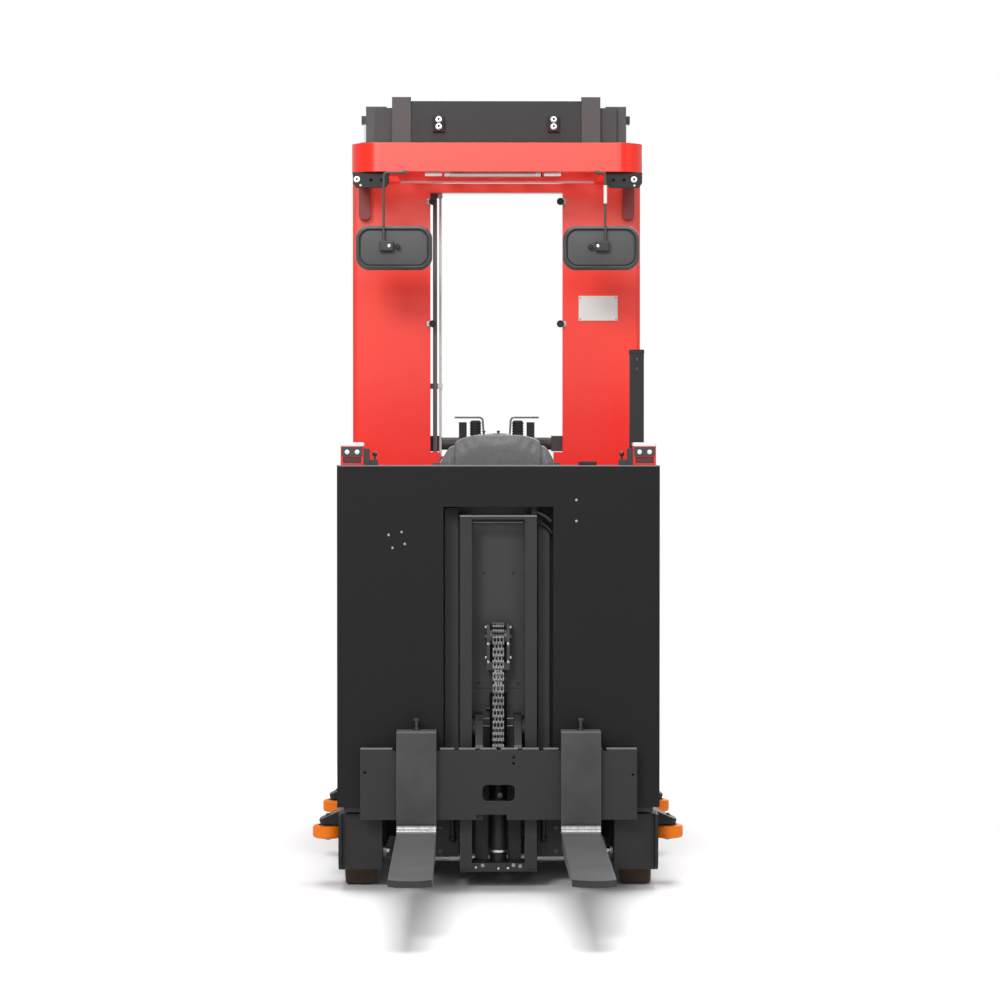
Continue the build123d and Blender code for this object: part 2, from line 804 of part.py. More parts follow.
def seat_frame():
    """A bracket on the back of the well that carries the cushion pan and the back rest."""
    well_back = face_y + well_depth + well_skin
    low_y = seat_back_y + seat_back_thickness + 4.0 - 60.0
    pan_top = cushion_top - cushion_thickness
    spine = block((-90.0, 90.0), (well_back, seat_back_y), (pan_top - 120.0, seat_back_bottom + 260.0))
    pan = block((-160.0, 160.0), (well_back, low_y + cushion_depth - 40.0), (pan_top - 14.0, pan_top))
    gusset_outline = [(well_back, pan_top - 14.0), (low_y + 160.0, pan_top - 14.0), (well_back, pan_top - 120.0)]
    gusset = side_prism(gusset_outline, (-90.0, -80.0))
    return spine + pan + gusset + mirrored(gusset)


def console():
    """The control desk on the mast side, its top sloping to the operator."""
    y = (post_front_y - console_depth, post_front_y)
    half = sill_half + 20.0
    outline = [
        (y[0] + 40.0, console_bottom),
        (y[1], console_bottom),
        (y[1], console_top),
        (y[0] + 20.0, console_top),
        (y[0], console_top - 50.0),
        (y[0], console_bottom + 60.0),
    ]
    desk = side_prism(outline, (-half, half))
    stem = block((-60.0, 60.0), (y[0] + 50.0, y[1]), (floor_bottom + floor_thickness, console_bottom))
    return desk + stem


def hand_grips():
    y = post_front_y - console_depth / 2
    shapes = []
    for side in (-1, 1):
        grip = bar_z(side * grip_x, y, (console_top, grip_top), grip_radius)
        grip = fillet(grip.edges().group_by(Axis.Z)[-1], 6.0)
        boot = Pos(side * grip_x, y, console_top + 15.0) * Cone(32.0, 20.0, 30.0)
        stub = block((side * 112.0 - 13.0, side * 112.0 + 13.0), (y - 13.0, y + 13.0), (console_top, grip_top - 6.0))
        shapes.extend((grip + boot).solids())
        shapes.extend(stub.solids())
    return Compound(children=shapes)


def hand_guards():
    """Bent wire hoops over the grips."""
    y = post_front_y - console_depth / 2 - 26.0
    shapes = []
    wire = 4.0
    top = grip_top + 9.0
    for side in (-1, 1):
        path = FilletPolyline(
            (side * 140.0, y, console_top),
            (side * 140.0, y, top),
            (side * 48.0, y, top),
            (side * 38.0, y, top - 45.0),
            (side * 38.0, y, console_top),
            radius=10.0,
        )
        hoop = sweep(Plane(origin=path @ 0, z_dir=path % 0) * Circle(wire), path=path)
        shapes.extend(hoop.solids())
    return Compound(children=shapes)


def light_boxes():
    """A lamp housing with two round windows over a wide one, a latch post and a block beside it."""
    x = (418.0, 489.0)
    y = (face_y + 20.0, face_y + 84.0)
    z = (cab_top, cab_top + 70.0)
    box = block(x, y, z)
    window = block((x[0] + 8.0, x[1] - 8.0), (y[0] - 1.0, y[0] + 7.0), (z[0] + 6.0, z[0] + 26.0))
    box -= window
    for lamp_x in (x[0] + 20.0, x[1] - 20.0):
        box -= bar_y(lamp_x, (y[0] - 1.0, y[0] + 5.0), z[0] + 41.0, 10.0)
    latch = block((x[0] - 18.0, x[0]), (y[0] + 6.0, y[1] - 14.0), (cab_top, cab_top + 52.0))
    foot = block((x[0] - 44.0, x[0] - 18.0), (y[0] + 10.0, y[1] - 14.0), (cab_top, cab_top + 18.0))
    stem = bar_z(x[0] - 34.0, y[0] + 30.0, (cab_top + 17.0, cab_top + 30.0), 3.5)
    knob = Pos(x[0] - 34.0, y[0] + 30.0, cab_top + 35.0) * Sphere(8.0)
    return pair(box + latch + foot + stem + knob)


# Side gates that swing up about a pin inside the panel's return
def gate(side, raised):
    """A channel bar from its pivot, lying back to the post or standing up."""
    half = gate_section / 2
    skin = 5.0
    cap = 8.0
    x = (gate_x - half, gate_x + half)
    bar = block(x, (-half, gate_length), (-half, half))
    hollow = block((x[0] + skin, x[1] - skin), (half + cap, gate_length - cap), (-half - 1.0, half - skin))
    bar -= hollow
    bar = bar - bar_x((x[0] - 1.0, x[1] + 1.0), 0, 0, gate_pin_radius + running_gap)
    if raised:
        bar = Rot(90, 0, 0) * bar
    bar = Pos(0, gate_pivot_y, gate_pivot_z) * bar
    return bar if side > 0 else mirrored(bar)


def gate_pins():
    low = gate_x - gate_section / 2 - 8.0
    pin = bar_x((low, cab_half - panel_skin), gate_pivot_y, gate_pivot_z, gate_pin_radius)
    head = bar_x((low - 6.0, low), gate_pivot_y, gate_pivot_z, gate_pin_radius + 6.0)
    boss_x = (gate_x + gate_section / 2 + clearance, cab_half - panel_skin)
    boss = bar_x(boss_x, gate_pivot_y, gate_pivot_z, gate_pin_radius + 14.0)
    return pair(pin + head + boss)


def cab_pipes():
    """A flat duct and a thin pipe up the left window edge, clamped to the post."""
    y = post_rear_y + 6.0
    duct = block((-window_half + 8.0, -window_half + 22.0), (y - 6.0, y + 6.0), (sill_top - 60.0, window_top + 20.0))
    pipe = bar_z(-window_half + 33.0, y, (sill_top - 60.0, window_top + 20.0), 4.0)
    shape = duct
    for clamp_z in (sill_top - 40.0, 1580.0, window_top - 6.0):
        shape += block((-window_half - 30.0, -window_half + 40.0), (post_rear_y, y + 5.0), (clamp_z - 9.0, clamp_z + 9.0))
    return shape + pipe


def cab_crossbar():
    """The round bar behind the window sill, with a disc at each end."""
    y = post_rear_y + 34.0
    z = 1388.0
    bar = bar_x((-sill_half + 6.0, sill_half - 6.0), y, z, 21.0)
    reach = (post_rear_y + 14.0, y + 20.0)
    foot_x = window_half + 10.0
    outline = [
        (sill_half - 6.0, reach[0]),
        (foot_x, reach[0]),
        (foot_x, post_rear_y),
        (foot_x + 22.0, post_rear_y),
        (foot_x + 22.0, reach[1]),
        (sill_half - 6.0, reach[1]),
    ]
    lug = plan_prism(outline, (z - 26.0, z + 26.0))
    return bar + lug + mirrored(lug)


# Second mast, its cylinder, crosshead, chain and carriage
def aux_mast():
    z = (aux_bottom, aux_top)
    x_in = aux_half - aux_flange_width
    rear_y = aux_back_y
    channel = block((aux_half - aux_web, aux_half), (aux_front_y, rear_y), z)
    channel += block((x_in, aux_half), (aux_front_y, aux_front_y + aux_flange), z)
    channel += block((x_in, aux_half), (rear_y - aux_flange, rear_y), z)
    back = block((-x_in, x_in), (rear_y, rear_y + 8.0), (floor_bottom, aux_top - 20.0))
    back_lap = block((-aux_half, aux_half), (rear_y, rear_y + 8.0), (floor_bottom, aux_top - 20.0))
    base = block((-aux_half, aux_half), (aux_front_y + 6.0, rear_y), (aux_base_bottom, aux_base_top))
    tie = block((-x_in - 4.0, x_in + 4.0), (aux_front_y, aux_front_y + 6.0), (aux_top - 12.0, aux_top))
    stay = block((30.0, 72.0), (rear_y - 8.0, rear_y + 8.0), (aux_base_bottom, floor_bottom + 20.0))
    return joined_pair(channel + stay, back + back_lap + base + tie)


def foot_plates():
    """Plates that hang beside the second mast, each with a short rod and ball."""
    y = (face_y + well_depth - 34.0, face_y + well_depth - 22.0)
    sheet = block((aux_half + 4.0, 208.0), y, (92.0, floor_bottom))
    rod = bar_z(142.0, y[0] - 12.0, (158.0, floor_bottom), 8.0)
    ball = Pos(142.0, y[0] - 12.0, 150.0) * Sphere(11.0)
    ear = block((132.0, 152.0), (y[0] - 12.0, y[0]), (floor_bottom - 14.0, floor_bottom))
    shelf = block((aux_half + 4.0, 208.0), (y[0], y[1] + 40.0), (floor_bottom - 8.0, floor_bottom))
    return pair(sheet + rod + ball + ear + shelf)


def aux_barrel():
    barrel = bar_z(0, aux_axis_y, (aux_base_top, aux_barrel_top), aux_barrel_radius)
    band = bar_z(0, aux_axis_y, (112.0, 118.0), aux_barrel_radius + 2.0)
    port = bar_x((-aux_barrel_radius - 12.0, 0), aux_axis_y, aux_barrel_top - 50.0, 9.0)
    bore = bar_z(0, aux_axis_y, (aux_base_top + 14.0, aux_barrel_top + 1.0), aux_rod_radius + running_gap)
    return barrel + band + port - bore


def aux_rod():
    return bar_z(0, aux_axis_y, (aux_rod_bottom, crosshead_bottom), aux_rod_radius)


def crosshead():
    """A shoe on the rod with two cheeks that hold the chain wheel."""
    wheel_z = crosshead_top - chain_wheel_radius - 8.0
    half_depth = chain_wheel_radius - 8.0
    shoe = block((-crosshead_half, crosshead_half), (aux_axis_y - 22.0, aux_axis_y + 22.0),
                 (crosshead_bottom, crosshead_bottom + 24.0))
    outline = [
        (aux_axis_y - 22.0, crosshead_bottom),
        (aux_axis_y + 22.0, crosshead_bottom),
        (aux_axis_y + half_depth, wheel_z - 10.0),
        (aux_axis_y + half_depth, crosshead_top - 12.0),
        (aux_axis_y + half_depth - 12.0, crosshead_top),
        (aux_axis_y - half_depth + 12.0, crosshead_top),
        (aux_axis_y - half_depth, crosshead_top - 12.0),
        (aux_axis_y - half_depth, wheel_z - 10.0),
    ]
    cheek = side_prism(outline, (crosshead_half - crosshead_cheek, crosshead_half))
    wheel = bar_x((-crosshead_half + crosshead_cheek, crosshead_half - crosshead_cheek), aux_axis_y, wheel_z,
                  chain_wheel_radius - link_height / 2)
    pin = bar_x((-crosshead_half - 6.0, crosshead_half + 6.0), aux_axis_y, wheel_z, 11.0)
    return joined_pair(cheek, shoe + wheel + pin)


def lift_chain():
    """A leaf chain: rows of waisted link plates on cross pins, from the wheel to the carriage anchor."""
    wheel_z = crosshead_top - chain_wheel_radius - 8.0
    y = aux_axis_y - chain_wheel_radius
    anchor_z = slot_z + 40.0
    count = int((wheel_z - anchor_z) / chain_pitch)
    leaf = chain_width / 2
    chain = None
    for index in range(count + 1):
        z = wheel_z - index * chain_pitch
        pin = bar_x((-leaf, leaf), y, z, 4.0)
        chain = pin if chain is None else chain + pin
        if index < count:
            wide = index % 2 == 0
            stations = (-leaf + link_plate, 0.0, leaf - link_plate) if wide else (-leaf + 3 * link_plate, leaf - 3 * link_plate)
            for station in stations:
                x = (station - link_plate / 2, station + link_plate / 2)
                chain += block(x, (y - link_height / 2, y + link_height / 2), (z - chain_pitch - 5.0, z + 5.0))
    return chain


def fork_carriage():
    """The carriage plate with its slot and notches, on two bars that roll in the second mast."""
    back = face_y - plate_gap
    front = back - carriage_thickness
    sheet = block((-carriage_half, carriage_half), (front, back), (carriage_bottom_z, carriage_top_z))
    sheet = fillet(sheet.edges().filter_by(Axis.Y), 4.0)
    slot = block((-slot_width / 2, slot_width / 2), (front - 1.0, back + 1.0),
                 (slot_z - slot_height / 2, slot_z + slot_height / 2))
    slot = fillet(slot.edges().filter_by(Axis.Y), 16.0)
    sheet -= slot
    sheet -= block((-70.0, 25.0), (front - 1.0, back + 1.0), (carriage_bottom_z - 1.0, carriage_bottom_z + 16.0))
    notch_table = [-320.0, -188.0, -130.0, -64.0, 0.0, 66.0, 131.0, 192.0, 326.0]
    for notch_x in notch_table:
        sheet -= block((notch_x - 7.0, notch_x + 7.0), (front - 1.0, back + 1.0), (carriage_top_z - 8.0, carriage_top_z + 1.0))
    hole_table = [(-412.0, 375.0), (414.0, 368.0), (46.0, 422.0), (46.0, 404.0)]
    for hole_x, hole_z in hole_table:
        sheet -= bar_y(hole_x, (front - 1.0, back + 1.0), hole_z, 4.5)
    bar_in = roller_bar_half - roller_bar_thickness
    roller_y = aux_front_y + aux_depth / 2
    roller_radius = (aux_depth - 2 * aux_flange) / 2 - 3.0
    bar = block((bar_in, roller_bar_half), (back, roller_y + 40.0), (roller_bar_bottom, roller_bar_top))
    bar -= side_prism(
        [(back - 1.0, carriage_top_z + 6.0), (aux_front_y + 20.0, roller_bar_top - 20.0), (aux_front_y + 20.0, roller_bar_top + 1.0),
         (back - 1.0, roller_bar_top + 1.0)],
        (bar_in - 1.0, roller_bar_half + 1.0),
    )
    side = bar
    for roller_z in (roller_bar_bottom + 50.0, roller_bar_top - 50.0):
        side += bar_x((roller_bar_half, aux_half - aux_web - 5.0), roller_y, roller_z, roller_radius)
    tie = block((-bar_in, bar_in), (back, back + 16.0), (roller_bar_bottom + 20.0, carriage_top_z - 90.0))
    tie -= block((-slot_width / 2, slot_width / 2), (back - 1.0, back + 17.0),
                 (slot_z - slot_height / 2, slot_z + slot_height / 2))
    anchor_y = aux_axis_y - chain_wheel_radius
    anchor = block((-bar_in, bar_in), (back, anchor_y + 8.0), (slot_z + 26.0, slot_z + 36.0))
    return joined_pair(side, sheet + tie + anchor)


def forks():
    """Each fork is one bent bar: hooked shank, round heel and a blade that thins to its tip."""
    back = face_y - plate_gap - carriage_thickness
    front = back - shank_thickness
    tip_y = front - blade_length
    under = blade_top - shank_thickness
    outline = [
        (back, under),
        (back, shank_top),
        (front, shank_top),
        (front, blade_top),
        (tip_y, blade_top),
        (tip_y, blade_top - tip_thickness),
        (front - 260.0, under),
    ]
    half = fork_width / 2
    bar = side_prism(outline, (-half, half))
    heel = [e for e in bar.edges().filter_by(Axis.X) if abs(e.center().Y - back) < 1.0 and abs(e.center().Z - under) < 1.0]
    bar = fillet(heel, heel_radius)
    root = [e for e in bar.edges().filter_by(Axis.X) if abs(e.center().Y - front) < 1.0 and abs(e.center().Z - blade_top) < 1.0]
    bar = fillet(root, heel_radius - shank_thickness)
    corners = [e for e in bar.edges().filter_by(Axis.Z) if abs(e.center().Y - tip_y) < 1.0]
    bar = chamfer(corners, 26.0)
    lip_y = (back, face_y - plate_gap + 14.0)
    lip_z = (carriage_top_z + 0.5, shank_top)
    bar += block((-half, half), lip_y, lip_z)
    bar += block((-half, half), (face_y - plate_gap + 0.5, lip_y[1]), (carriage_top_z - 32.0, shank_top))
    bar -= bar_z(0, back + 12.0, (carriage_top_z - 40.0, shank_top + 1.0), pin_radius + running_gap)
    return Pos(fork_x, 0, 0) * bar + Pos(-fork_x, 0, 0) * bar


def fork_pins():
    """Locking pins with flat heads through the hooks into the carriage's top edge."""
    y = face_y - plate_gap - carriage_thickness + 12.0
    pin = bar_z(fork_x, y, (carriage_top_z, pin_top), pin_radius)
    head = bar_z(fork_x, y, (pin_top - 8.0, pin_top), 2 * pin_radius)
    collar = bar_z(fork_x, y, (shank_top, shank_top + 8.0), 10.0)
    return pair(pin + head + collar)


SUBPARTS = {
    "chassis_frame": chassis_frame,
    "leg_right": leg,
    "leg_left": lambda: mirrored(leg()),
    "load_axles": load_axles,
    "battery": battery,
    "battery_cover": battery_cover,
    "tail_cover": tail_cover,
    "outer_mast": outer_mast,
    "lift_barrels": lift_barrels,
    "guide_arms": guide_arms,
    "load_wheel_right": load_wheel,
    "load_wheel_left": lambda: mirrored(load_wheel()),
    "guide_roller_front_right": lambda: guide_roller(guide_x, guide_front_y),
    "guide_roller_front_left": lambda: guide_roller(-guide_x, guide_front_y),
    "guide_roller_rear_right": lambda: guide_roller(guide_x, guide_rear_y),
    "guide_roller_rear_left": lambda: guide_roller(-guide_x, guide_rear_y),
    "drive_yoke": drive_yoke,
    "drive_motor": drive_motor,
    "drive_wheel": drive_wheel,
    "middle_mast": middle_mast,
    "lift_rods": lift_rods,
    "inner_mast": inner_mast,
    "stop_blocks": stop_blocks,
    "cab_carriage": cab_carriage,
    "cab_floor": cab_floor,
    "front_panel": front_panel,
    "mast_well": mast_well,
    "post_right": lambda: rear_post(1),
    "post_left": lambda: rear_post(-1),
    "post_tie": post_tie,
    "overhead_guard": overhead_guard,
    "roof_beam": roof_beam,
    "roof_lamp": roof_lamp,
    "mirror_arms": mirror_arms,
    "mirror_right": lambda: mirror_head(1),
    "mirror_left": lambda: mirror_head(-1),
    "seat_back": seat_back,
    "seat_cushion": seat_cushion,
    "seat_frame": seat_frame,
    "console": console,
    "hand_grips": hand_grips,
    "hand_guards": hand_guards,
    "light_boxes": light_boxes,
    "gate_pins": gate_pins,
    "gate_right": lambda: gate(1, True),
    "gate_left": lambda: gate(-1, False),
    "cab_pipes": cab_pipes,
    "cab_crossbar": cab_crossbar,
    "aux_mast": aux_mast,
    "foot_plates": foot_plates,
    "aux_barrel": aux_barrel,
    "aux_rod": aux_rod,
    "crosshead": crosshead,
    "lift_chain": lift_chain,
    "fork_carriage": fork_carriage,
    "forks": forks,
    "fork_pins": fork_pins,
}

os.makedirs("parts", exist_ok=True)
for node, build in SUBPARTS.items():
    export_step(build(), f"parts/{node}.step")
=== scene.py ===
"""The finished look of the order picker: paints, rubbers, fasteners, padding, chain, studio and camera."""

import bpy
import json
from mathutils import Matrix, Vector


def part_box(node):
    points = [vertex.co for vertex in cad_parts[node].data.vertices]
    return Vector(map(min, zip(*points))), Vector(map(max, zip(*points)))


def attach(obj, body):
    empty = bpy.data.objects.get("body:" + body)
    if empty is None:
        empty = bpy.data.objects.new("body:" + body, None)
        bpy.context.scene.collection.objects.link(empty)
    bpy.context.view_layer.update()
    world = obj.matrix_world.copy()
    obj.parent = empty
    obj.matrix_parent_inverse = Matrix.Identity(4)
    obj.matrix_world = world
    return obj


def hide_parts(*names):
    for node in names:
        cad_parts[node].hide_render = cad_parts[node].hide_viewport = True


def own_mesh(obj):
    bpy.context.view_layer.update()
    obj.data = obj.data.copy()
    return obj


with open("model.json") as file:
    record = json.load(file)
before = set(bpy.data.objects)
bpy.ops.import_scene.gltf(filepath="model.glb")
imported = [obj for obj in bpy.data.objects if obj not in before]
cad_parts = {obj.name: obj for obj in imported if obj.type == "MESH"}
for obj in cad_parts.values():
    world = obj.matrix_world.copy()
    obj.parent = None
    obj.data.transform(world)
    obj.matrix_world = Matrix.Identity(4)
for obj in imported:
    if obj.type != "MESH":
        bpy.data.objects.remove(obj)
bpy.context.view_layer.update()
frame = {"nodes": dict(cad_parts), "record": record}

import json
import logging
import math
from dataclasses import dataclass
from enum import Enum
from typing import Any, Callable, Dict, List, Optional, Sequence, Tuple, Union

import bmesh
import bpy
from mathutils import Matrix, Vector

LOG = logging.getLogger("order_picker")
Point = Tuple[float, float, float]
Flat = Tuple[float, float]
Colour = Tuple[float, float, float]
SMOOTH_ANGLE = math.radians(32.0)
WELD = 1e-6
SIDES = ((1, "right"), (-1, "left"))


class Axis(Enum):
    """A direction of the shared frame."""

    X = Vector((1.0, 0.0, 0.0))
    Y = Vector((0.0, 1.0, 0.0))
    Z = Vector((0.0, 0.0, 1.0))


class Facing(Enum):
    """The turn that points a fastener's head, made facing up, another way."""

    UP = (0.0, 0.0, 0.0)
    DOWN = (math.pi, 0.0, 0.0)
    FORKS = (math.pi / 2, 0.0, 0.0)
    TAIL = (-math.pi / 2, 0.0, 0.0)
    RIGHT = (0.0, math.pi / 2, 0.0)
    LEFT = (0.0, -math.pi / 2, 0.0)


class TreeBuilder:
    """Adds nodes to a node tree, with their settings and the values or links of their sockets."""

    def __init__(self, tree: bpy.types.NodeTree) -> None:
        """Keeps the tree that the nodes go into."""
        self.tree = tree

    def node(self, kind: str, settings: Optional[Dict[str, Any]] = None,
             sockets: Optional[Dict[Any, Any]] = None) -> bpy.types.Node:
        """Adds one node.

        Args:
            kind: The node's type name.
            settings: Its properties; "stops" gives a ramp's places and colours.
            sockets: Values or links of its inputs, by name or number.

        Returns:
            The node.
        """
        made = self.tree.nodes.new(kind)
        for name, value in (settings or {}).items():
            if name == "stops":
                self._set_stops(made, value)
            else:
                setattr(made, name, value)
        for key, value in (sockets or {}).items():
            source = value.socket if isinstance(value, Value) else value
            if isinstance(source, bpy.types.NodeSocket):
                self.tree.links.new(source, made.inputs[key])
            else:
                made.inputs[key].default_value = source
        return made

    @staticmethod
    def _set_stops(ramp: bpy.types.Node, stops: Sequence[Tuple[float, float]]) -> None:
        """Gives a ramp its grey stops, as (place, level) pairs."""
        elements = ramp.color_ramp.elements
        while len(elements) < len(stops):
            elements.new(0.5)
        for element, (place, level) in zip(elements, stops):
            element.position = place
            element.color = (level, level, level, 1.0)


def operator(operation: str, swapped: bool = False) -> Callable[["Value", "Operand"], "Value"]:
    """An arithmetic method that adds one Math node.

    Args:
        operation: The node's operation.
        swapped: Whether the other operand comes first.

    Returns:
        The method.
    """
    def method(self: "Value", other: "Operand") -> "Value":
        """Adds the node on the two operands."""
        first, second = (other, self) if swapped else (self, other)
        made = self.builder.node("ShaderNodeMath", {"operation": operation}, {0: first, 1: second})
        return Value(self.builder, made.outputs[0])

    return method


class Value:
    """A number socket of a shader tree that takes part in Python arithmetic."""

    __add__, __radd__ = operator("ADD"), operator("ADD", True)
    __sub__, __rsub__ = operator("SUBTRACT"), operator("SUBTRACT", True)
    __mul__, __rmul__ = operator("MULTIPLY"), operator("MULTIPLY", True)

    def __init__(self, builder: TreeBuilder, socket: bpy.types.NodeSocket) -> None:
        """Wraps the socket."""
        self.builder = builder
        self.socket = socket

    def span(self, low: float, high: float) -> "Value":
        """A smooth rise from 0 at low to 1 at high."""
        made = self.builder.node(
            "ShaderNodeMapRange", {"interpolation_type": "SMOOTHSTEP", "clamp": True},
            {"Value": self, "From Min": low, "From Max": high})
        return Value(self.builder, made.outputs["Result"])

    def window(self, low: float, high: float, soft: float) -> "Value":
        """1 between low and high, falling to 0 over the soft width outside them."""
        return self.span(low - soft, low) * (1 - self.span(high, high + soft))


Operand = Union[Value, float]


class Surface(TreeBuilder):
    """One material's tree: patterns on Object coordinates that end in one shader."""

    def __init__(self, name: str) -> None:
        """Starts an empty material."""
        self.material = bpy.data.materials.new(name)
        self.material.use_nodes = True
        super().__init__(self.material.node_tree)
        self.tree.nodes.clear()
        self.place = self.node("ShaderNodeTexCoord").outputs["Object"]

    def value(self, socket: bpy.types.NodeSocket) -> Value:
        """Wraps a socket of this tree."""
        return Value(self, socket)

    def stretched(self, scale: Point = (1.0, 1.0, 1.0), origin: Point = (0.0, 0.0,
                                                                         0.0)) -> bpy.types.NodeSocket:
        """Object coordinates moved by an origin and then stretched."""
        shifted = tuple(-place * factor for place, factor in zip(origin, scale))
        made = self.node("ShaderNodeMapping", {"vector_type": "POINT"},
                         {"Vector": self.place, "Scale": scale, "Location": shifted})
        return made.outputs["Vector"]

    def noise(self, scale: float, detail: float = 3.0, stretch: Point = (1.0, 1.0, 1.0)) -> Value:
        """Cloudy noise from 0 to 1, scale cells a metre."""
        made = self.node("ShaderNodeTexNoise", None,
                         {"Vector": self.stretched(stretch), "Scale": scale, "Detail": detail,
                          "Roughness": 0.55})
        return self.value(made.outputs["Fac"])

    def cells(self, scale: float, stretch: Point = (1.0, 1.0, 1.0)) -> Value:
        """Distance to the nearest cell centre, for grain and pebbled plastic."""
        made = self.node("ShaderNodeTexVoronoi", {"feature": "F1"},
                         {"Vector": self.stretched(stretch), "Scale": scale, "Randomness": 0.9})
        return self.value(made.outputs["Distance"])

    def along(self, axis: str) -> Value:
        """One Object coordinate, in metres."""
        return self.value(self.node("ShaderNodeSeparateXYZ", None, {0: self.place}).outputs[axis])

    def maths(self, operation: str, value: Value) -> Value:
        """What a Math node with one operand makes of the value."""
        return self.value(self.node("ShaderNodeMath", {"operation": operation}, {0: value}).outputs[0])

    def radius_from(self, origin: Point, axis: Axis) -> Value:
        """Distance from a line through origin along an axis."""
        flat = tuple(0.0 if component else 1.0 for component in axis.value)
        made = self.node("ShaderNodeVectorMath", {"operation": "LENGTH"}, {0: self.stretched(flat, origin)})
        return self.value(made.outputs["Value"])

    def mix(self, share: Operand, first: Any, second: Any) -> bpy.types.NodeSocket:
        """A colour between two others."""
        colours = [tuple(c) + (1.0,) if isinstance(c, tuple) and len(c) == 3 else c for c in (first, second)]
        made = self.node("ShaderNodeMix", {"data_type": "RGBA", "clamp_factor": True},
                         {0: share, 6: colours[0], 7: colours[1]})
        return made.outputs[2]

    def round_normal(self, radius: float) -> bpy.types.NodeSocket:
        """The normal of the surface as if its edges were rounded."""
        return self.node("ShaderNodeBevel", {"samples": 4}, {"Radius": radius}).outputs["Normal"]

    def edges(self, radius: float) -> Value:
        """1 on edges and corners, 0 on flats."""
        flat = self.node("ShaderNodeNewGeometry").outputs["Normal"]
        made = self.node("ShaderNodeVectorMath", {"operation": "DOT_PRODUCT"},
                         {0: self.round_normal(radius), 1: flat})
        return (1 - self.value(made.outputs["Value"])).span(0.02, 0.22)

    def bump(self, height: Value, distance: float, radius: float = 0.0) -> bpy.types.NodeSocket:
        """A normal raised by a height, over rounded edges where a radius is given."""
        sockets: Dict[Any, Any] = {"Height": height, "Distance": distance, "Strength": 1.0}
        if radius:
            sockets["Normal"] = self.round_normal(radius)
        return self.node("ShaderNodeBump", None, sockets).outputs["Normal"]

    def shade(self, **sockets: Any) -> bpy.types.Material:
        """Ends the tree in one shader.

        Args:
            sockets: Its inputs, with an underscore for each space in their names.

        Returns:
            The finished material.
        """
        named = {name.replace("_", " "): value for name, value in sockets.items()}
        for name in ("Base Color", "Emission Color"):
            if isinstance(named.get(name), tuple) and len(named[name]) == 3:
                named[name] = named[name] + (1.0,)
        shader = self.node("ShaderNodeBsdfPrincipled", None, named)
        self.node("ShaderNodeOutputMaterial", None, {"Surface": shader.outputs[0]})
        return self.material


def tinted(colour: Colour, factor: float) -> Colour:
    """The colour, lighter or darker."""
    return tuple(min(channel * factor, 1.0) for channel in colour)


@dataclass(frozen=True)
class Finish:
    """What every finish has: its own name and the slot of the record that it stands for."""

    name: str
    slot: str

    def material(self) -> bpy.types.Material:
        """The material, made once."""
        return bpy.data.materials.get(self.name) or self.make(Surface(self.name))

    def make(self, surface: Surface) -> bpy.types.Material:
        """Builds the tree of the finish."""
        raise NotImplementedError


@dataclass(frozen=True)
class Patch:
    """A band of a surface, between two places along an axis, coloured apart: most are painted highlights and
    painted shade, a few the part's own colour.
    """

    axis: str
    low: float
    high: float
    colour: Colour
    soft: float = 0.0008


@dataclass(frozen=True)
class Paint(Finish):
    """Sprayed paint on steel: faint clouding, orange peel, scuffed and lightly worn edges."""

    colour: Colour = (0.03, 0.03, 0.03)
    roughness: float = 0.45
    coat: float = 0.0
    specular: float = 0.4
    edge_radius: float = 0.0025
    wear: float = 0.25
    bare: Colour = (0.16, 0.16, 0.165)
    peel: float = 0.00005
    clouding: float = 0.1
    patches: Tuple[Patch, ...] = ()

    def make(self, surface: Surface) -> bpy.types.Material:
        """Builds the paint."""
        clouds = surface.noise(2.6, 4.0)
        scuffs = surface.noise(38.0, 5.0, (1.0, 1.0, 0.35)).span(0.56, 0.72)
        flecks = surface.noise(520.0, 2.0)
        rubbed = surface.edges(self.edge_radius) * surface.noise(24.0, 4.0).span(0.42, 0.68) * self.wear
        ground = surface.mix(clouds, tinted(self.colour, 1 - self.clouding),
                             tinted(self.colour, 1 + self.clouding))
        # Bands coloured apart, most of them painted highlights and painted shade.
        for patch in self.patches:
            inside = surface.along(patch.axis).window(patch.low, patch.high, patch.soft)
            ground = surface.mix(inside, ground, patch.colour)
        worn = surface.mix(rubbed, ground, self.bare)
        return surface.shade(
            Base_Color=worn,
            Roughness=self.roughness + (clouds - 0.5) * 0.1 + scuffs * 0.07,
            Specular_IOR_Level=self.specular,
            Coat_Weight=self.coat,
            Coat_Roughness=0.12,
            Normal=surface.bump(flecks + scuffs * 0.3, self.peel, self.edge_radius),
        )


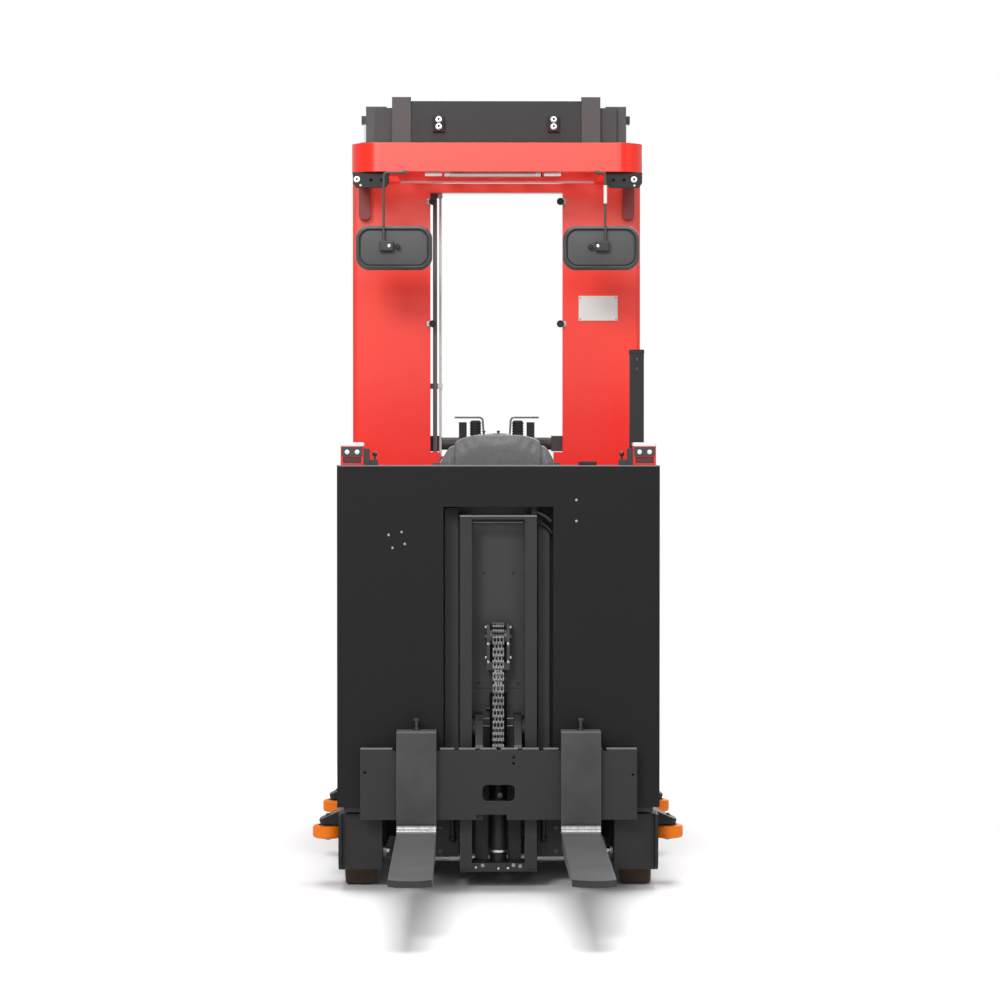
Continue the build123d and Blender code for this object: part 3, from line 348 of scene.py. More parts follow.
@dataclass(frozen=True)
class WornSteel(Finish):
    """The forks' dark steel: brushed along their length, rubbed bright at the heel and on the edges, with
    painted highlights at the heel and along the shank tops and painted shade before the heel and on the tips.
    """

    colour: Colour = (0.027, 0.027, 0.0277)
    blade: Colour = (0.072, 0.072, 0.0735)
    # Worn metal, used also for the painted highlights at the heel and along the shank tops.
    bright: Colour = (0.29, 0.286, 0.282)
    # Painted shade on the blade tips.
    dark: Colour = (0.006, 0.006, 0.006)
    blade_top: float = 0.194
    shank_top: float = 0.505
    heel_y: float = -0.64
    heel_height: float = 0.02
    fork_x: float = 0.253
    tip_y: float = -1.705
    tip_curve: float = 7.0

    def make(self, surface: Surface) -> bpy.types.Material:
        """Builds the steel, with a bright band of wear and painted highlight where the shank turns into the
        blade and painted shade on the tips.
        """
        height = surface.along("Z")
        reach = surface.along("Y")
        strokes = surface.noise(46.0, 5.0, (9.0, 0.7, 1.0))
        clouds = surface.noise(5.0, 4.0)
        above = self.blade_top + self.heel_height
        # The band where the shank turns into the blade: worn metal and a painted highlight of the fillet.
        band = (height.window(self.blade_top + 0.002, above, 0.003)
                * reach.window(self.heel_y - 0.022, self.heel_y + 0.01, 0.004))
        heel_wear_and_highlight = band * (0.6 + strokes.span(0.3, 0.6) * 0.4)
        seam = height.window(above + 0.004, above + 0.007, 0.002)
        top = 1 - height.span(self.blade_top + 0.001, self.blade_top + 0.003)
        # Painted shade on the blade top just in front of the heel.
        heel_shade = reach.window(self.heel_y - 0.085, self.heel_y - 0.001, 0.03) * top * 0.6
        across = surface.maths("ABSOLUTE", surface.along("X")) - self.fork_x
        # Painted shade over the tips' front, curved so that they look rounded.
        tip_shade = 1 - (reach - across * across * self.tip_curve - self.tip_y).span(0.0, 0.002)
        # Painted highlight along the shank's top edge.
        crown = height.window(self.shank_top - 0.004, self.shank_top + 0.002, 0.001)
        rub = surface.edges(0.004) * (0.45 + surface.noise(30.0, 4.0).span(0.35, 0.65) * 0.55)
        scraped = (height.window(self.blade_top - 0.001, self.blade_top + 0.001, 0.001)
                   * strokes.span(0.5, 0.85) * 0.35)
        steel = surface.mix(top, self.colour, self.blade)
        ground = surface.mix(clouds.span(0.3, 0.7) * 0.35, steel, tinted(self.blade, 1.3))
        seamed_and_heel_shade = surface.mix(surface.maths("ABSOLUTE", seam + heel_shade), ground, tinted(self.colour, 0.25))
        # Edges and the scraped blade top are wear; the shank-top band mixed in is a painted highlight.
        rubbed = surface.mix(rub + scraped + crown * 0.6, seamed_and_heel_shade, tinted(self.bright, 0.5))
        shown = surface.mix(tip_shade, surface.mix(heel_wear_and_highlight, rubbed, self.bright), self.dark)
        return surface.shade(
            Base_Color=shown,
            Roughness=0.42 + (clouds - 0.5) * 0.16 - heel_wear_and_highlight * 0.08,
            Metallic=heel_wear_and_highlight * 0.8 + rub * 0.4,
            Specular_IOR_Level=0.45,
            Normal=surface.bump(strokes + surface.noise(420.0, 2.0) * 0.3, 0.00012, 0.0025),
        )


@dataclass(frozen=True)
class Metal(Finish):
    """Bare or plated metal with fine machining lines and a film of oil."""

    colour: Colour = (0.5, 0.5, 0.51)
    roughness: float = 0.3
    grime: float = 0.35
    lines: Point = (1.0, 1.0, 14.0)

    def make(self, surface: Surface) -> bpy.types.Material:
        """Builds the metal."""
        turned = surface.noise(160.0, 3.0, self.lines)
        film = surface.noise(14.0, 5.0).span(0.45, 0.75) * self.grime
        return surface.shade(
            Base_Color=surface.mix(film, self.colour, tinted(self.colour, 0.28)),
            Roughness=self.roughness + film * 0.3 + (turned - 0.5) * 0.08,
            Metallic=1.0 - film * 0.5,
            Normal=surface.bump(turned, 0.00003, 0.0012),
        )


@dataclass(frozen=True)
class Tread(Finish):
    """A cast tread on a metal core, told apart by their distance from the axle."""

    colour: Colour = (0.05, 0.028, 0.02)
    core: Colour = (0.09, 0.09, 0.092)
    axis: Axis = Axis.X
    centre: Point = (0.0, 0.0, 0.0)
    core_radius: float = 0.07
    scuff: float = 0.25
    turning: float = 2600.0

    def make(self, surface: Surface) -> bpy.types.Material:
        """Builds the wheel: glossy core, satin tread with dull rolling marks."""
        radius = surface.radius_from(self.centre, self.axis)
        tread = radius.span(self.core_radius - 0.0006, self.core_radius + 0.0006)
        turned = surface.maths("SINE", radius * self.turning)
        dull = surface.noise(26.0, 5.0).span(0.4, 0.75) * self.scuff
        skin = surface.mix(dull, self.colour, tinted(self.colour, 0.45))
        core = surface.mix(surface.noise(60.0, 3.0), tinted(self.core, 0.7), tinted(self.core, 1.35))
        return surface.shade(
            Base_Color=surface.mix(tread, core, skin),
            Roughness=0.4 + tread * 0.1 + dull * 0.35,
            Metallic=(1 - tread) * 0.7,
            Specular_IOR_Level=0.28,
            Normal=surface.bump(surface.noise(340.0, 3.0) + turned * 0.25, 0.00006, 0.002),
        )


@dataclass(frozen=True)
class Moulded(Finish):
    """Moulded plastic or rubber with a fine pebbled grain."""

    colour: Colour = (0.03, 0.031, 0.033)
    roughness: float = 0.5
    grain: float = 900.0
    depth: float = 0.00012
    specular: float = 0.45

    def make(self, surface: Surface) -> bpy.types.Material:
        """Builds the plastic."""
        pebbles = surface.cells(self.grain)
        clouds = surface.noise(18.0, 4.0)
        rubbed = surface.edges(0.0016) * 0.35
        ground = surface.mix(clouds, tinted(self.colour, 0.85), tinted(self.colour, 1.2))
        return surface.shade(
            Base_Color=surface.mix(rubbed, ground, tinted(self.colour, 2.2)),
            Roughness=self.roughness + (clouds - 0.5) * 0.14,
            Specular_IOR_Level=self.specular,
            Normal=surface.bump(pebbles, self.depth, 0.0015),
        )


@dataclass(frozen=True)
class Vinyl(Finish):
    """Seat vinyl: leathery creases between pebbles, darkened as painted shade, lighter where it is rubbed."""

    colour: Colour = (0.125, 0.125, 0.126)

    def make(self, surface: Surface) -> bpy.types.Material:
        """Builds the vinyl."""
        pebbles = surface.cells(420.0, (1.0, 1.0, 0.8))
        fine = surface.cells(1100.0)
        clouds = surface.noise(7.0, 4.0)
        ground = surface.mix(clouds, tinted(self.colour, 0.8), tinted(self.colour, 1.3))
        return surface.shade(
            # Painted shade in the creases between pebbles.
            Base_Color=surface.mix(pebbles.span(0.35, 0.8) * 0.5, ground, tinted(self.colour, 0.45)),
            Roughness=0.44 + (clouds - 0.5) * 0.15 + fine * 0.1,
            Specular_IOR_Level=0.5,
            Sheen_Weight=0.12,
            Normal=surface.bump(1 - pebbles + (1 - fine) * 0.4, 0.0005),
        )


@dataclass(frozen=True)
class Lens(Finish):
    """A moulded lamp lens with fine upright flutes inside."""

    colour: Colour = (0.45, 0.01, 0.008)
    glow: float = 0.0
    flutes: float = 2400.0

    def make(self, surface: Surface) -> bpy.types.Material:
        """Builds the lens."""
        flutes = surface.maths("SINE", surface.along("X") * self.flutes)
        dust = surface.noise(90.0, 3.0)
        shown = surface.mix(flutes * 0.5 + 0.5, tinted(self.colour, 0.6), tinted(self.colour, 1.3))
        return surface.shade(
            Base_Color=shown,
            Roughness=0.12 + dust * 0.12,
            Coat_Weight=0.6,
            Emission_Color=self.colour,
            Emission_Strength=self.glow,
            Normal=surface.bump(flutes, 0.0002),
        )


@dataclass(frozen=True)
class Glass(Finish):
    """Silvered or dark glass with faint smears."""

    colour: Colour = (0.8, 0.82, 0.84)
    metallic: float = 1.0

    def make(self, surface: Surface) -> bpy.types.Material:
        """Builds the glass."""
        smears = surface.noise(9.0, 4.0, (1.0, 1.0, 3.0)).span(0.5, 0.8)
        return surface.shade(
            Base_Color=surface.mix(smears, self.colour, tinted(self.colour, 0.86)),
            Roughness=0.05 + smears * 0.12,
            Metallic=self.metallic,
            Coat_Weight=0.5,
        )


BLACK = (0.0085, 0.0085, 0.0088)
# Near-black used as painted shade on the legs' outer edges and behind the carriage plate, and as the mirror
# clamps' dark colour.
SHADE_AND_CLAMP_BLACK = (0.004, 0.004, 0.0042)
# The panel's patch is a painted highlight along its top edge.
PANEL = Paint("satin_black_panel", "black_paint", BLACK, 0.5, specular=0.15, wear=0.3,
              bare=(0.09, 0.09, 0.092), patches=(Patch("Z", 1.3188, 1.33, (0.22, 0.22, 0.225)),))
# Recess paint: black paint lightened as painted light, making up for the shade in the recess and on its
# runners.
WELL = Paint("recess_black", "black_paint", (0.05, 0.05, 0.0515), 0.48, specular=0.3, wear=0.3)
FRAME = Paint("chassis_black", "black_paint", (0.0095, 0.0095, 0.01), 0.46, specular=0.3, wear=0.35)
# The leg's patches are painted shade along the outer edges of both legs.
LEG = Paint("leg_black", "black_paint", (0.011, 0.011, 0.0115), 0.46, specular=0.3, wear=0.35,
            patches=(Patch("X", 0.4855, 0.6, SHADE_AND_CLAMP_BLACK), Patch("X", -0.6, -0.4855, SHADE_AND_CLAMP_BLACK)))
ARM = Paint("guide_arm_black", "black_paint", (0.008, 0.008, 0.0085), 0.44, specular=0.2, wear=0.15)
MAST = Paint("mast_grey_black", "mast_paint", (0.045, 0.045, 0.046), 0.42, specular=0.4, wear=0.4)
STAGE = Paint("middle_stage_grey", "mast_paint", (0.056, 0.06, 0.0625), 0.42, specular=0.2, wear=0.5,
              bare=(0.25, 0.25, 0.25))
UPRIGHT = Paint("upright_grey", "mast_paint", (0.077, 0.084, 0.0865), 0.42, specular=0.2, wear=0.5,
                bare=(0.3, 0.3, 0.3), patches=(Patch("X", -0.2868, 0.2868, (0.0285, 0.034, 0.0345)),))
# Carriage patches: a painted highlight along the plate's top edge and painted shade on the cheeks behind the
# plate.
PLATE = Paint("carriage_grey", "mast_paint", (0.02, 0.02, 0.0207), 0.44, specular=0.28, wear=0.4,
              patches=(Patch("Z", 0.4474, 0.46, (0.2, 0.2, 0.2)), Patch("Y", -0.5745, 0.0, SHADE_AND_CLAMP_BLACK)))
# Second mast patches: the recessed back plate lightened as painted light against the recess's shade, and a
# painted highlight in a band at the top.
AUX = Paint("second_mast_grey", "mast_paint", (0.0185, 0.0185, 0.019), 0.44, specular=0.3, wear=0.45,
            patches=(Patch("Y", -0.402, -0.38, (0.043, 0.043, 0.044)),
                     Patch("Z", 1.1632, 1.18, (0.3, 0.3, 0.3))))
GATE = Paint("gate_grey", "mast_paint", (0.022, 0.021, 0.021), 0.42, specular=0.2, wear=0.3)
ARM_ROD = Paint("mirror_arm_brown", "black_paint", (0.05, 0.045, 0.041), 0.38, specular=0.45, wear=0.3,
                patches=(Patch("Z", 1.9, 2.0325, SHADE_AND_CLAMP_BLACK),))
DUCT = Paint("pipe_duct_grey", "black_paint", (0.075, 0.077, 0.075), 0.42, specular=0.45, wear=0.3,
             patches=(Patch("X", -0.1955, -0.179, (0.62, 0.62, 0.62)),))
RED_COLOUR = (0.95, 0.036, 0.018)
# Painted reflection and shade on the posts: a paler red high up, in the guard's shade, and a purer red low
# down.
RED_PAINTED_SHEEN = (Patch("Z", 2.08, 2.3, (0.9, 0.075, 0.05), 0.2), Patch("Z", 1.2, 1.42, (0.97, 0.012, 0.004), 0.25))
RED = Paint("gloss_red", "red_paint", RED_COLOUR, 0.32, 0.15, 0.4, wear=0.2, bare=(0.95, 0.22, 0.17),
            clouding=0.05, patches=RED_PAINTED_SHEEN)
# Guard patches: a painted reflection on the front face and painted shade on the parts below the roof's
# underside.
GUARD_RED = Paint("guard_red", "red_paint", (0.96, 0.018, 0.004), 0.32, 0.15, 0.4, wear=0.3,
                  bare=(0.98, 0.45, 0.4),
                  clouding=0.04, patches=(Patch("Y", -0.3, -0.2388, (0.96, 0.07, 0.045), 0.0012),
                                          Patch("Z", 2.0, 2.2545, (0.2, 0.008, 0.006))))
# The roof beam's red is a paler, lighter copy of the red paint as painted light, with a painted highlight
# along its lower edge.
BEAM_RED_PAINTED_LIT = Paint("beam_red", "red_paint", (0.86, 0.06, 0.045), 0.32, 0.3, 0.5, wear=0.3,
                 bare=(0.95, 0.5, 0.45),
                 clouding=0.05, patches=(Patch("Z", 2.2, 2.2355, (0.9, 0.42, 0.38)),))
LAMP_BOX = Paint("lamp_box_red", "red_paint", (0.74, 0.016, 0.011), 0.34, 0.2, 0.4, wear=0.2,
                 patches=(Patch("X", -0.4172, 0.4172, (0.018, 0.017, 0.018)),))
FORK = WornSteel("fork_steel_worn", "fork_steel")
STEEL = Metal("oiled_steel", "steel", (0.3, 0.3, 0.31), 0.34)
ZINC = Metal("zinc_bolt", "steel", (0.66, 0.66, 0.67), 0.28, 0.2, (1.0, 1.0, 1.0))
CHROME = Metal("chrome_rod_polished", "chrome_rod", (0.78, 0.79, 0.81), 0.1, 0.12)
DARK_STEEL = Metal("blackened_steel", "steel", (0.06, 0.06, 0.062), 0.38, 0.4)
WIRE = Metal("wire_steel", "steel", (0.13, 0.125, 0.12), 0.35, 0.3)
CHAIN_STEEL = Metal("chain_steel", "steel", (0.17, 0.17, 0.175), 0.3, 0.6, (1.0, 1.0, 3.0))
PLASTIC = Moulded("grained_plastic", "black_plastic", (0.03, 0.031, 0.032), 0.46)
MIRROR_BACK = Moulded("mirror_shell", "black_plastic", (0.055, 0.056, 0.057), 0.5, 700.0)
HOSE = Moulded("hose_rubber", "rubber", (0.014, 0.014, 0.014), 0.36, 500.0, 0.00006, 0.4)
RUBBER = Moulded("black_rubber", "rubber", (0.018, 0.018, 0.018), 0.66, 600.0, 0.00018, 0.3)
BATTERY = Moulded("battery_steel_case", "battery_case", (0.08, 0.08, 0.085), 0.55, 300.0)
CASTING = Moulded("motor_casting", "motor_case", (0.05, 0.05, 0.052), 0.58, 380.0, 0.0005)
# Near-black plugs and discs that are painted shade in bolt sockets and in the corner plates' holes.
HOLE_SHADE_BLACK = Moulded("socket_black", "black_plastic", (0.004, 0.004, 0.004), 0.7, 900.0, 0.0, 0.1)
WHITE_LAMP = Moulded("lamp_housing_white", "lamp_white", (0.8, 0.8, 0.79), 0.4, 500.0, 0.00004)
TUBE_GREY = Moulded("lamp_tube_grey", "lamp_white", (0.5, 0.51, 0.51), 0.3, 500.0, 0.00004)
STOP_RED = Moulded("stop_button_red", "red_paint", (0.62, 0.012, 0.01), 0.3, 1200.0, 0.00003)
YELLOW = Moulded("stop_ring_yellow", "black_plastic", (0.8, 0.5, 0.02), 0.4, 1200.0, 0.00003)
PLATE_WHITE = Paint("blank_plate", "lamp_white", (0.78, 0.77, 0.74), 0.4, wear=0.1, bare=(0.5, 0.5, 0.5))
SEAT = Vinyl("seat_vinyl", "seat_skin")
RED_LENS = Lens("tail_lens", "red_paint", (0.07, 0.004, 0.004))
CLEAR_LENS = Lens("lamp_lens", "lamp_white", (0.8, 0.8, 0.8), 0.4)
MIRROR_GLASS = Glass("mirror_glass", "chrome_rod")
SCREEN = Glass("screen_glass", "black_plastic", (0.02, 0.024, 0.03), 0.0)
PANEL_HOLES: Tuple[Flat, ...] = ((-0.34, 1.106), (-0.3, 1.115), (-0.328, 1.066), (-0.29, 1.078),
                                 (0.2415, 1.214), (0.2415, 1.149))
SLOT_FINISHES: Dict[str, Finish] = {
    "black_paint": FRAME, "mast_paint": MAST, "fork_steel": FORK, "red_paint": RED, "steel": STEEL,
    "chrome_rod": CHROME, "battery_case": BATTERY, "motor_case": CASTING, "rubber": RUBBER,
    "black_plastic": PLASTIC, "lamp_white": WHITE_LAMP, "seat_skin": SEAT,
}
NODE_FINISHES: Dict[str, Finish] = {
    "front_panel": PANEL, "mast_well": WELL, "fork_carriage": PLATE, "inner_mast": UPRIGHT,
    "middle_mast": STAGE, "lift_barrels": MAST, "cab_crossbar": WELL, "gate_right": GATE, "gate_left": GATE,
    "aux_mast": AUX,
    "leg_right": LEG, "leg_left": LEG, "guide_arms": ARM, "mirror_arms": ARM_ROD, "cab_pipes": DUCT,
    "roof_beam": BEAM_RED_PAINTED_LIT, "light_boxes": LAMP_BOX, "roof_lamp": TUBE_GREY, "overhead_guard": GUARD_RED,
    "fork_pins": DARK_STEEL, "crosshead": DARK_STEEL,
}


class Form:
    """Closed forms gathered into one mesh, in metres, in the shared frame."""

    def __init__(self) -> None:
        """Starts with nothing."""
        self.mesh = bmesh.new()

    def _round(self, vertices: Sequence[bmesh.types.BMVert], bevel: float, segments: int,
               keep: Callable[[bmesh.types.BMEdge], bool] = lambda edge: True) -> None:
        """Bevels the edges among the vertices that the test keeps."""
        members = set(vertices)
        edges = dict.fromkeys(edge for vertex in vertices for edge in vertex.link_edges
                              if edge.other_vert(vertex) in members and keep(edge))
        if bevel:
            bmesh.ops.bevel(self.mesh, geom=list(edges), offset=bevel, segments=segments, affect="EDGES")

    def block(self, low: Point, high: Point, bevel: float = 0.001, segments: int = 2) -> "Form":
        """A block between two corners, with rounded edges."""
        middle = (Vector(low) + Vector(high)) / 2
        size = Vector(high) - Vector(low)
        matrix = Matrix.Translation(middle) @ Matrix.Diagonal((*size, 1.0))
        made = bmesh.ops.create_cube(self.mesh, size=1.0, matrix=matrix)
        self._round(made["verts"], bevel, segments)
        return self

    def rod(self, start: Point, end: Point, radius: float, sides: int = 28, bevel: float = 0.0) -> "Form":
        """A round bar between two points."""
        first, last = Vector(start), Vector(end)
        direction = last - first
        turn = direction.to_track_quat("Z", "Y").to_matrix().to_4x4()
        matrix = Matrix.Translation((first + last) / 2) @ turn
        made = bmesh.ops.create_cone(self.mesh, cap_ends=True, segments=sides, radius1=radius, radius2=radius,
                                     depth=direction.length, matrix=matrix)
        self._round(made["verts"], bevel, 2, lambda edge: any(len(f.verts) > 4 for f in edge.link_faces))
        return self

    def ball(self, centre: Point, radius: float, scale: Point = (1.0, 1.0, 1.0)) -> "Form":
        """A ball, flattened if a scale is given."""
        matrix = Matrix.Translation(centre) @ Matrix.Diagonal((*scale, 1.0))
        bmesh.ops.create_uvsphere(self.mesh, u_segments=24, v_segments=14, radius=radius, matrix=matrix)
        return self

    def prism(self, outline: Sequence[Flat], axis: Axis, span: Flat, bevel: float = 0.0,
              segments: int = 2) -> "Form":
        """An outline carried along an axis; its points lie in the plane of the other two axes, in order."""
        order = {Axis.X: (1, 2, 0), Axis.Y: (0, 2, 1), Axis.Z: (0, 1, 2)}[axis]
        rings = []
        for station in span:
            ring = []
            for point in outline:
                place = [0.0, 0.0, 0.0]
                place[order[0]], place[order[1]], place[order[2]] = point[0], point[1], station
                ring.append(self.mesh.verts.new(place))
            rings.append(ring)
        self.skin(rings, caps=True)
        self._round([vertex for ring in rings for vertex in ring], bevel, segments)
        return self

    def skin(self, rings: Sequence[Sequence[bmesh.types.BMVert]], caps: bool = False,
             closed: bool = False) -> None:
        """Joins rings of as many points by quads, and closes the ends or the loop if asked."""
        count = len(rings[0])
        pairs = list(zip(rings, rings[1:])) + ([(rings[-1], rings[0])] if closed else [])
        for first, second in pairs:
            for index in range(count):
                after = (index + 1) % count
                self.mesh.faces.new((first[index], first[after], second[after], second[index]))
        if caps:
            self.mesh.faces.new(list(reversed(rings[0])))
            self.mesh.faces.new(rings[-1])

    def lathe(self, profile: Sequence[Flat], centre: Point, axis: Axis, sides: int = 48) -> "Form":
        """A closed profile of (radius, station) points turned about an axis."""
        turn = axis.value.to_track_quat("Z", "Y").to_matrix()
        rings = []
        for index in range(sides):
            angle = 2 * math.pi * index / sides
            ring = []
            for radius, station in profile:
                local = Vector((radius * math.cos(angle), radius * math.sin(angle), station))
                ring.append(self.mesh.verts.new(Vector(centre) + turn @ local))
            rings.append(ring)
        self.skin(rings, closed=True)
        return self

    def sweep(self, path: Sequence[Point], radius: float, sides: int = 14) -> "Form":
        """A round wire or hose through the points."""
        points = [Vector(point) for point in path]
        rings = []
        side = None
        for index, point in enumerate(points):
            before = points[max(index - 1, 0)]
            after = points[min(index + 1, len(points) - 1)]
            along = (after - before).normalized()
            if side is None:
                side = along.orthogonal().normalized()
            side = (side - along * side.dot(along)).normalized()
            other = along.cross(side)
            ring = []
            for turn in range(sides):
                angle = 2 * math.pi * turn / sides
                offset = side * math.cos(angle) + other * math.sin(angle)
                ring.append(self.mesh.verts.new(point + offset * radius))
            rings.append(ring)
        self.skin(rings, caps=True)
        return self

    def mirrored(self) -> "Form":
        """Adds the same forms on the other side of the truck."""
        twins = bmesh.ops.duplicate(self.mesh,
                                    geom=self.mesh.verts[:] + self.mesh.edges[:] + self.mesh.faces[:])
        made = [item for item in twins["geom"] if isinstance(item, bmesh.types.BMVert)]
        faces = [item for item in twins["geom"] if isinstance(item, bmesh.types.BMFace)]
        for vertex in made:
            vertex.co.x = -vertex.co.x
        bmesh.ops.reverse_faces(self.mesh, faces=faces)
        return self

    def piece(self, name: str, finish: Finish, body: str) -> bpy.types.Object:
        """Closes the mesh and hands it over as a piece that rides on a body.

        Args:
            name: The piece's name.
            finish: What it is dressed in.
            body: The body that it moves with.

        Returns:
            The finished object.
        """
        return adopt(name, self.closed(name), finish, body)

    def closed(self, name: str) -> bpy.types.Mesh:
        """Welds the forms' points, turns the faces outward and ends the form in a plain mesh."""
        bmesh.ops.remove_doubles(self.mesh, verts=self.mesh.verts[:], dist=WELD)
        bmesh.ops.recalc_face_normals(self.mesh, faces=self.mesh.faces[:])
        mesh = bpy.data.meshes.new(name)
        self.mesh.to_mesh(mesh)
        self.mesh.free()
        return mesh


def adopt(name: str, mesh: bpy.types.Mesh, finish: Finish, body: str) -> bpy.types.Object:
    """Makes a mesh a finished piece: shaded smooth up to its sharp edges, dressed, and riding on its body."""
    mesh.shade_smooth()
    mesh.set_sharp_from_angle(angle=SMOOTH_ANGLE)
    mesh.materials.clear()
    mesh.materials.append(finish.material())
    made = bpy.data.objects.new(name, mesh)
    bpy.context.scene.collection.objects.link(made)
    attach(made, body)
    LOG.info("%s: %d faces on %s", name, len(mesh.polygons), body)
    return made


class GeometryTree(TreeBuilder):
    """A Geometry Nodes tree with named inputs that ends in Realize Instances and Set Material."""

    def __init__(self, name: str, sizes: Sequence[Tuple[str, str, Any]]) -> None:
        """Makes the tree's inputs.

        Args:
            name: The tree's name.
            sizes: Rows of input name, socket kind and default.
        """
        group = bpy.data.node_groups.new(name, "GeometryNodeTree")
        super().__init__(group)
        self.keys: Dict[str, str] = {}
        for title, kind, default in [("Geometry", "Geometry", None), *sizes, ("Material", "Material", None)]:
            made = group.interface.new_socket(title, in_out="INPUT", socket_type="NodeSocket" + kind)
            if default is not None:
                made.default_value = default
            self.keys[title] = made.identifier
        group.interface.new_socket("Geometry", in_out="OUTPUT", socket_type="NodeSocketGeometry")
        self.given = self.node("NodeGroupInput").outputs

    def end(self, geometry: bpy.types.NodeSocket) -> None:
        """Realizes the instances, sets the material and leaves the tree."""
        real = self.node("GeometryNodeRealizeInstances", None, {"Geometry": geometry})
        dressed = self.node("GeometryNodeSetMaterial", None,
                            {"Geometry": real.outputs[0], "Material": self.given["Material"]})
        self.node("NodeGroupOutput", None, {0: dressed.outputs[0]})

    def grow(self, name: str, base: bpy.types.Mesh, finish: Finish, body: str,
             values: Dict[str, Any]) -> bpy.types.Object:
        """Runs the tree on a mesh and keeps the result as a plain piece.

        Args:
            name: The piece's name.
            base: The mesh that the tree starts from.
            finish: What the piece is dressed in.
            body: The body that it moves with.
            values: The tree's inputs by name.

        Returns:
            The finished object, with no modifier.
        """
        seed = bpy.data.objects.new(name + "_seed", base)
        bpy.context.scene.collection.objects.link(seed)
        modifier = seed.modifiers.new("grow", "NODES")
        modifier.node_group = self.tree
        for title, value in {**values, "Material": finish.material()}.items():
            modifier[self.keys[title]] = value
        bpy.context.view_layer.update()
        seen = seed.evaluated_get(bpy.context.evaluated_depsgraph_get())
        mesh = bpy.data.meshes.new_from_object(seen)
        bpy.data.objects.remove(seed)
        return adopt(name, mesh, finish, body)


def fastener_tree() -> GeometryTree:
    """Heads with a washer, a crowned rim and a socket, one on each point of the mesh."""
    tree = GeometryTree("fasteners", [
        ("Sides", "Int", 6), ("Radius", "Float", 0.008), ("Height", "Float", 0.006), ("Crown", "Float",
                                                                                      0.001),
        ("Crown share", "Float", 0.85), ("Socket share", "Float", 0.5), ("Socket depth", "Float", 0.003),
        ("Washer radius", "Float", 0.011), ("Washer height", "Float", 0.0015), ("Turn", "Vector",
                                                                                (0.0, 0.0, 0.0)),
    ])
    given = tree.given

    def lifted(radius: bpy.types.NodeSocket, height: bpy.types.NodeSocket, sides: Any,
               base: Any) -> Tuple[Any, Any]:
        """A closed disc that stands on the base height."""
        disc = tree.node("GeometryNodeMeshCylinder", {"fill_type": "NGON"},
                         {"Vertices": sides, "Radius": radius, "Depth": height})
        half = tree.node("ShaderNodeMath", {"operation": "MULTIPLY_ADD"}, {0: height, 1: 0.5, 2: base})
        place = tree.node("ShaderNodeCombineXYZ", None, {"Z": half.outputs[0]})
        moved = tree.node("GeometryNodeTransform", None,
                          {"Geometry": disc.outputs["Mesh"], "Translation": place.outputs[0]})
        return moved.outputs[0], disc.outputs["Top"]

    def raised(geometry: Any, top: Any, height: Any, share: Any) -> Tuple[Any, Any]:
        """The top face carried up by a height and drawn in to a share."""
        out = tree.node("GeometryNodeExtrudeMesh", {"mode": "FACES"},
                        {"Mesh": geometry, "Selection": top, "Offset Scale": height})
        drawn = tree.node("GeometryNodeScaleElements", {"domain": "FACE"},
                          {"Geometry": out.outputs["Mesh"], "Selection": out.outputs["Top"], "Scale": share})
        return drawn.outputs[0], out.outputs["Top"]

    washer, _ = lifted(given["Washer radius"], given["Washer height"], 24, 0.0)
    head, top = lifted(given["Radius"], given["Height"], given["Sides"], given["Washer height"])
    head, top = raised(head, top, given["Crown"], given["Crown share"])
    head, top = raised(head, top, 0.0, given["Socket share"])
    sunk = tree.node("ShaderNodeMath", {"operation": "MULTIPLY"}, {0: given["Socket depth"], 1: -1.0})
    head, top = raised(head, top, sunk.outputs[0], 0.96)
    both = tree.node("GeometryNodeJoinGeometry")
    tree.tree.links.new(washer, both.inputs[0])
    tree.tree.links.new(head, both.inputs[0])
    turn = tree.node("FunctionNodeEulerToRotation", None, {0: given["Turn"]})
    spread = tree.node("GeometryNodeInstanceOnPoints", None,
                       {"Points": given["Geometry"], "Instance": both.outputs[0],
                        "Rotation": turn.outputs[0]})
    tree.end(spread.outputs[0])
    return tree


def row_tree() -> GeometryTree:
    """The whole mesh repeated along a straight line, for ribs, slats and links."""
    tree = GeometryTree("row", [("Count", "Int", 5), ("Step", "Vector", (0.0, 0.0, 0.01))])
    line = tree.node("GeometryNodeMeshLine", {"mode": "OFFSET"},
                     {"Count": tree.given["Count"], "Offset": tree.given["Step"]})
    spread = tree.node("GeometryNodeInstanceOnPoints", None,
                       {"Points": line.outputs[0], "Instance": tree.given["Geometry"]})
    tree.end(spread.outputs[0])
    return tree


@dataclass(frozen=True)
class Head:
    """The sizes of one kind of fastener head, in metres."""

    sides: int
    radius: float
    height: float
    crown: float
    crown_share: float
    socket_share: float
    socket_depth: float
    washer: float

    def scaled(self, factor: float) -> "Head":
        """The same head for another thread."""
        return Head(self.sides, self.radius * factor, self.height * factor, self.crown * factor,
                    self.crown_share, self.socket_share, self.socket_depth * factor, self.washer * factor)


class Fastener(Enum):
    """The kinds of head on the truck, at the size of an 8 mm thread."""

    SOCKET = Head(24, 0.0065, 0.0072, 0.0008, 0.9, 0.58, 0.004, 0.0085)
    BUTTON = Head(24, 0.007, 0.0018, 0.0024, 0.62, 0.62, 0.0022, 0.0074)
    HEX = Head(6, 0.0075, 0.005, 0.0008, 0.9, 0.8, 0.0002, 0.0085)
    RIVET = Head(20, 0.0045, 0.0008, 0.0012, 0.6, 0.4, 0.0002, 0.0046)
    NUT = Head(6, 0.0075, 0.0062, 0.0005, 0.92, 0.6, -0.004, 0.0095)


